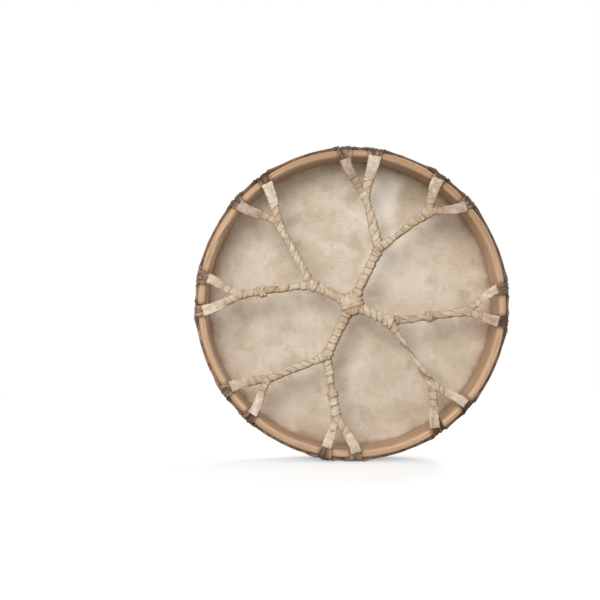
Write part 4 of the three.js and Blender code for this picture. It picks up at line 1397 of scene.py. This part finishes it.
def skin(build, limbs, seed, extra=()):
    vertices, quads, tris = joined([limb.body for limb in limbs] + list(extra))
    outward = vertex_normals(vertices, quads, tris)
    best = np.full(len(vertices), 1e9)
    second = best.copy()
    fields = np.zeros((5, len(vertices)))
    for number, limb in enumerate(limbs):
        distance, values = winding(limb, number, vertices, seed)
        closer = distance < best
        second = np.where(closer, best, np.minimum(second, distance))
        best = np.where(closer, distance, best)
        fields = np.where(closer, values, fields)
    raised, across, length, turn, tone = fields
    # The skin is drawn in where two limbs are equally near.
    fork = bell((second - best) / 0.16) * (second < 2.2)
    vertices = vertices + outward * (raised - 0.35 * fork)[:, None]
    build.add(vertices, quads, tris, len=length, acr=across * (1 - fork) - 0.35 * fork,
              turn=turn, tone=tone)


def knot(build, path, station, half_width, half_depth, seed, tone):
    """Three tight turns over the winding, and a short tail."""
    random = np.random.RandomState(seed)
    point, tangent, side, _ = path.at(station)
    for i in range(3):
        shift = (i - 1) * 2.1 + random.uniform(-0.4, 0.4)
        band(build, point + tangent * shift - np.array([0, 0, 0.8]), side[[0, 2]],
             half_width + 1.1, half_depth + 1.0, strip=3.6, thickness=1.0, seed=seed + i * 7,
             tilt=random.uniform(-0.5, 0.5), tone=tone, lift=0.5 * (i == 1))
    sign = random.choice([-1, 1])
    part = np.linspace(0, 1, 14)
    point, tangent, side, up = path.at(station + 1.0 + part * 8.0)
    offset = (half_width + 1.4 + 0.5 * np.sin(part * math.pi))[:, None]
    angle = (0.9 - 0.7 * part)[:, None]
    centre = point + side * (np.cos(angle) * offset) * sign * 0.9
    centre = centre + up * (np.abs(np.sin(angle)) * (half_depth + 0.8))
    width = 3.4 * (1 - 0.45 * part)
    out = unit(side * sign * 0.5 + up * 0.8)
    lateral = unit(np.cross(tangent, out))
    rings = (centre[:, None, :]
             + lateral[:, None, :] * (ACROSS * width[:, None] / 2)[..., None]
             + out[:, None, :] * (THROUGH * 0.8)[:, None])
    add_strip(build, rings, part * 0.01 + seed * 0.01, ACROSS * 0.5, seed * 0.3, tone)


def leg_limb(number, which):
    """Winding of a leg (which: 0 for leg a, 1 for leg b), from part-way out to the junction."""
    spoke, leg = SPOKES[number], LEGS[number + 8 * which]
    path = leg_path(number + 8 * which)
    length = path.length

    def half_width(s):
        strap = 0.53 * leg.width * (1 - 0.26 * smooth(s / length, -0.25, 0.75))
        return strap + (5.0 - 0.40 * leg.width) * smooth(s / length, 0.6, 1.0)

    def half_depth(s):
        return 2.25 + 0.9 * smooth(s / length, 0.2, 1.0)

    def tone(s):
        strap = 1 - smooth(s, length * 0.7, length * 1.05)
        return spoke.tone + (leg.tone - spoke.tone) * strap

    return Limb(path, length * (1 - leg.wound), length + 2.0, half_width, half_depth,
                pitch=8.2 + 0.9 * ((number + which) % 3), hand=spoke.hand * (1 if which else -1),
                lap=0.62, tone=tone, phase=0.4 * number + 0.3 * which, skew=0.12)


def make_spoke(number):
    build = Build()
    spoke = SPOKES[number]
    path = stem_path(number, 4.0, 3.0)
    stations = np.linspace(0, path.length, len(spoke.widths))

    def half_width(s):
        return (np.interp(s, stations, spoke.widths) + 0.42 * noise1(s / 4.3, 80 + number)
                + 0.45 * noise1(s / 9.7, 83 + number))

    def half_depth(s):
        depth = np.clip(np.interp(s, stations, spoke.widths) * 0.74, 1.9, 3.9)
        return depth + 0.15 * noise1(s / 4.3, 90 + number)

    limbs = [Limb(path, 0.5, path.length, half_width, half_depth, pitch=spoke.pitch,
                  starts=spoke.starts, hand=spoke.hand, lap=0.8, tone=spoke.tone,
                  phase=0.3 * number, skew=spoke.skew, groove=spoke.groove)]
    limbs += [leg_limb(number, which) for which in (0, 1)]
    # A web of strip fills the fork between the legs.
    junction = stem(number)[0]
    ways = [unit(leg_plane(leg)[20] - junction) for leg in (number, number + 8)]
    plan = junction + unit(ways[0] + ways[1]) * np.linspace(-5, 6.5, 12)[:, None]
    fork = Path(place(plan[:, 0], plan[:, 1], LACE_Y + spoke.level + 0.2))
    web = tube(fork, 0.0, fork.length, lambda s: 7.2 - 1.2 * np.abs(s - 5) / 5,
               lambda s: 3.0 - 0.9 * smooth(s, 4, 11))
    skin(build, limbs, 1000 + 37 * number, [web])
    if spoke.knot:
        station = spoke.knot * path.length
        width = float(np.interp(station, stations, spoke.widths))
        knot(build, path, station, width, min(width * 0.8, 3.8), 1200 + 17 * number, spoke.tone)
    build.make(f"spoke_winding_{number + 1}", [BINDING], f"spoke_binding_{number + 1}",
               "rawhide_binding")


def spoke_root(number):
    """Winding of a spoke where it leaves the merge."""
    width = SPOKES[number].widths[0]
    return Limb(stem_path(number, 0.0, 0.0), 0.0, 13.0 + 2 * (number % 2),
                lambda s: width + 0.9 - 0.03 * s,
                lambda s: np.clip(width * 0.74, 1.9, 3.9) + 0.8 - 0.02 * s,
                pitch=9.0, hand=-1 if number % 2 else 1, lap=0.7, tone=0.05, phase=0.3 * number,
                skew=0.2)


# How much each arm swells at its merge, and the bands over it: turn from straight across in
# radians, shift outwards along the arm, and half-span.
ARM_SWELL = (0.0, 1.4, 0.3, 0.5)
ARM_BANDS = (
    ((0.35, -5.0, 6.6),),
    ((0.62, 0.0, 8.6), (-0.62, -0.6, 8.8), (0.25, -2.5, 8.2), (-0.2, 2.0, 8.0)),
    ((0.6, -1.0, 7.4), (-0.5, -1.5, 7.4)),
    ((0.5, -1.0, 7.6), (-0.6, -1.0, 7.6), (0.0, -4.5, 7.0)))


def make_arm(number):
    build = Build()
    merge = np.array(MERGES[number])
    outward = unit(merge)
    across = np.array([-outward[1], outward[0]])
    pair = (2 * number, 2 * number + 1)
    y = LACE_Y + (SPOKES[pair[0]].level + SPOKES[pair[1]].level) / 2
    path = radial_path(outward, np.linspace(GRIP_R - 6, np.linalg.norm(merge) + 1, 30), y)
    swell = ARM_SWELL[number]

    def swollen(s):
        return swell * smooth(s, path.length - 9, path.length - 1)

    arm = Limb(path, 0.0, path.length,
               lambda s: 6.3 + 0.4 * noise1(s / 6.0, 140 + number) + swollen(s),
               lambda s: 5.2 + 0.3 * noise1(s / 7.0, 150 + number) + 0.4 * swollen(s),
               pitch=9.5, hand=1 if number % 2 else -1, lap=0.8, tone=0.05, phase=0.2 * number,
               skew=0.25)
    skin(build, [arm] + [spoke_root(spoke) for spoke in pair], 2000 + 41 * number)
    for i, (angle, shift, half_span) in enumerate(ARM_BANDS[number]):
        way = across * math.cos(angle) + outward * math.sin(angle)
        centre = merge + outward * shift
        band(build, place(centre[0], centre[1], y), (-way[0], way[1]), half_span,
             5.5 + 0.4 * swell, strip=5.6, thickness=0.95, seed=3500 + 13 * number + i,
             lift=0.22 * i, tone=0.05)
    build.make(f"arm_winding_{number + 1}", [BINDING], f"arm_binding_{number + 1}",
               "rawhide_binding", sharp=70)


def make_grip():
    build = Build()
    # A wound core, with a turn of the arms' windings out to each side.
    limbs = []
    for i in (0, 1):
        path = radial_path(unit(MERGES[i]), np.linspace(-19, 19, 20), LACE_Y + (1.2 if i else -1.2))
        limbs.append(Limb(path, 0.0, path.length,
                          lambda s: 8.2 - 1.1 * (np.abs(s - 19) / 19) ** 2,
                          lambda s: 6.6 - 0.6 * (np.abs(s - 19) / 19) ** 2,
                          pitch=8.6, hand=1 if i else -1, lap=0.8, tone=0.05, phase=0.4 * i,
                          skew=0.2))
    skin(build, limbs, 2600)
    # Diagonal lashing: turns over the crossing on both diagonals, laid side by side.
    diagonal = sum(math.atan2(z, u) for u, z in MERGES[:2]) / 2
    count = 0
    for layer, angle in enumerate((diagonal, diagonal + math.pi / 2, diagonal)):
        for offset in ((-6.4, -2.2, 2.2, 6.4) if layer < 2 else (-2.2, 2.2)):
            half_span = 14.5 - abs(offset) * 0.35 - (1.0 if layer > 1 else 0)
            band(build, place(0, 0, LACE_Y), (-math.cos(angle), math.sin(angle)), half_span,
                 7.3 - 0.3 * abs(offset) / 6.4, strip=5.4, thickness=1.05, seed=4000 + count * 7,
                 offset=offset, tilt=0.08 * math.sin(count * 2.1), lift=0.75 * layer, steps=44,
                 square=0.62, tone=0.08 * (count % 3 == 1))
            count += 1
    build.make("grip_lashing", [BINDING], "grip_binding", "rawhide_binding", sharp=70)


make_hoop()
make_head()
for k in range(4):
    # Leg a of a spoke is laced to leg b of the opposite one, and the other way about.
    make_lace(2 * k, k, k + 12)
    make_lace(2 * k + 1, k + 8, k + 4)
for k in range(8):
    make_spoke(k)
for k in range(4):
    make_arm(k)
make_grip()


# ---- stage, light and camera ----
WHITE = (1.0, 1.0, 1.0, 1.0)


def floor_material():
    """The drum stands in its shadow; farther off the floor fades into the white surround."""
    mat = Nodes(bpy.data.materials.new("floor_white"))
    point = mat.point()
    mottle = mat.noise(point, None, 3.0, 2, 0.5).span(0.3, 0.7)
    colour = mat.mix(mottle, (0.90, 0.90, 0.90, 1), (0.93, 0.93, 0.93, 1))
    x, y, _ = mat.split(point)
    far = mat.hypot(x, y).span(0.34, 1.05)
    near = mat.make("ShaderNodeBsdfPrincipled", {
        "Base Color": colour, "Roughness": 0.8, "Specular IOR Level": 0.1})
    glow = mat.make("ShaderNodeEmission", {"Color": WHITE, "Strength": 1.0})
    seen = mat.make("ShaderNodeLightPath", output="Is Camera Ray")
    # Even close to the drum the camera sees this much glow.
    lit = mat.math("MAXIMUM", far * seen, seen * 0.45)
    visible = mat.make("ShaderNodeMixShader", {0: lit, 1: near, 2: glow})
    # To every other ray the floor is a dull grey.
    dim = mat.make("ShaderNodeBsdfDiffuse", {"Color": (0.45, 0.44, 0.42, 1)})
    return mat.output(mat.make("ShaderNodeMixShader", {0: seen, 1: dim, 2: visible}))


def make_floor():
    """A pale round floor that runs far off in every direction."""
    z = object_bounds()[0].z
    around = 96
    vertices = [(0, 0, z)]
    for radius in (0.6, 2.0, 6.0, 20.0, 60.0):
        vertices += [(radius * math.cos(i / around * TAU), radius * math.sin(i / around * TAU), z)
                     for i in range(around)]
    faces = [(0, 1 + i, 1 + (i + 1) % around) for i in range(around)]
    for ring in range(4):
        inner = 1 + ring * around
        outer = inner + around
        faces += [(inner + i, outer + i, outer + (i + 1) % around, inner + (i + 1) % around)
                  for i in range(around)]
    mesh = bpy.data.meshes.new("floor")
    mesh.from_pydata(vertices, [], faces)
    ob = bpy.data.objects.new("floor", mesh)
    bpy.context.scene.collection.objects.link(ob)
    mesh.materials.append(floor_material())
    ob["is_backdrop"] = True


def make_world():
    """The camera sees a plain white surround; the drum is lit a little more softly by it."""
    world = bpy.data.worlds.new("studio")
    bpy.context.scene.world = world
    nodes = Nodes(world)
    light, seen = (nodes.make("ShaderNodeBackground", {"Color": WHITE, "Strength": strength})
                   for strength in (0.82, 1.0))
    camera_ray = nodes.make("ShaderNodeLightPath", output="Is Camera Ray")
    surface = nodes.make("ShaderNodeMixShader", {0: camera_ray, 1: light, 2: seen})
    nodes.output(surface, "ShaderNodeOutputWorld")


def area_light(name, location, target, size, power):
    data = bpy.data.lights.new(name, "AREA")
    data.shape, data.size, data.energy = "DISK", size, power
    data.color = (1.0, 0.985, 0.96)
    ob = bpy.data.objects.new(name, data)
    ob.location = location
    ob.rotation_euler = (Vector(target) - Vector(location)).to_track_quat("-Z", "Y").to_euler()
    bpy.context.scene.collection.objects.link(ob)


def make_camera(back):
    """A camera straight behind the drum, a little above and to the +X side of its axis."""
    distance = 1300.0  # from the back rim's plane
    data = bpy.data.cameras.new("camera")
    camera = bpy.data.objects.new("camera", data)
    bpy.context.scene.collection.objects.link(camera)
    data.sensor_width = 36.0
    data.lens = 61.152
    camera.location = (66.836735 * MM, back + distance * MM, 4.974490 * MM)
    camera.rotation_mode = "QUATERNION"
    camera.rotation_quaternion = Vector((0, -1, 0)).to_track_quat("-Z", "Y")
    data.clip_start, data.clip_end = 0.01, 200
    bpy.context.scene.camera = camera


make_floor()
make_world()
area_light("key_back", (0.60, 1.94, 0.80), target=(0, 0.03, 0), size=1.05, power=27.5)
area_light("fill_side", (1.9, 0.06, 1.1), target=(0, 0.03, 0), size=1.2, power=7)
area_light("key_front", (-0.95, -1.15, 1.50), target=(0, 0.0, 0), size=0.90, power=32)

low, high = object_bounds()
make_camera(high.y)
bpy.context.scene.view_settings.view_transform = "Standard"
bpy.context.scene.view_settings.look = "None"
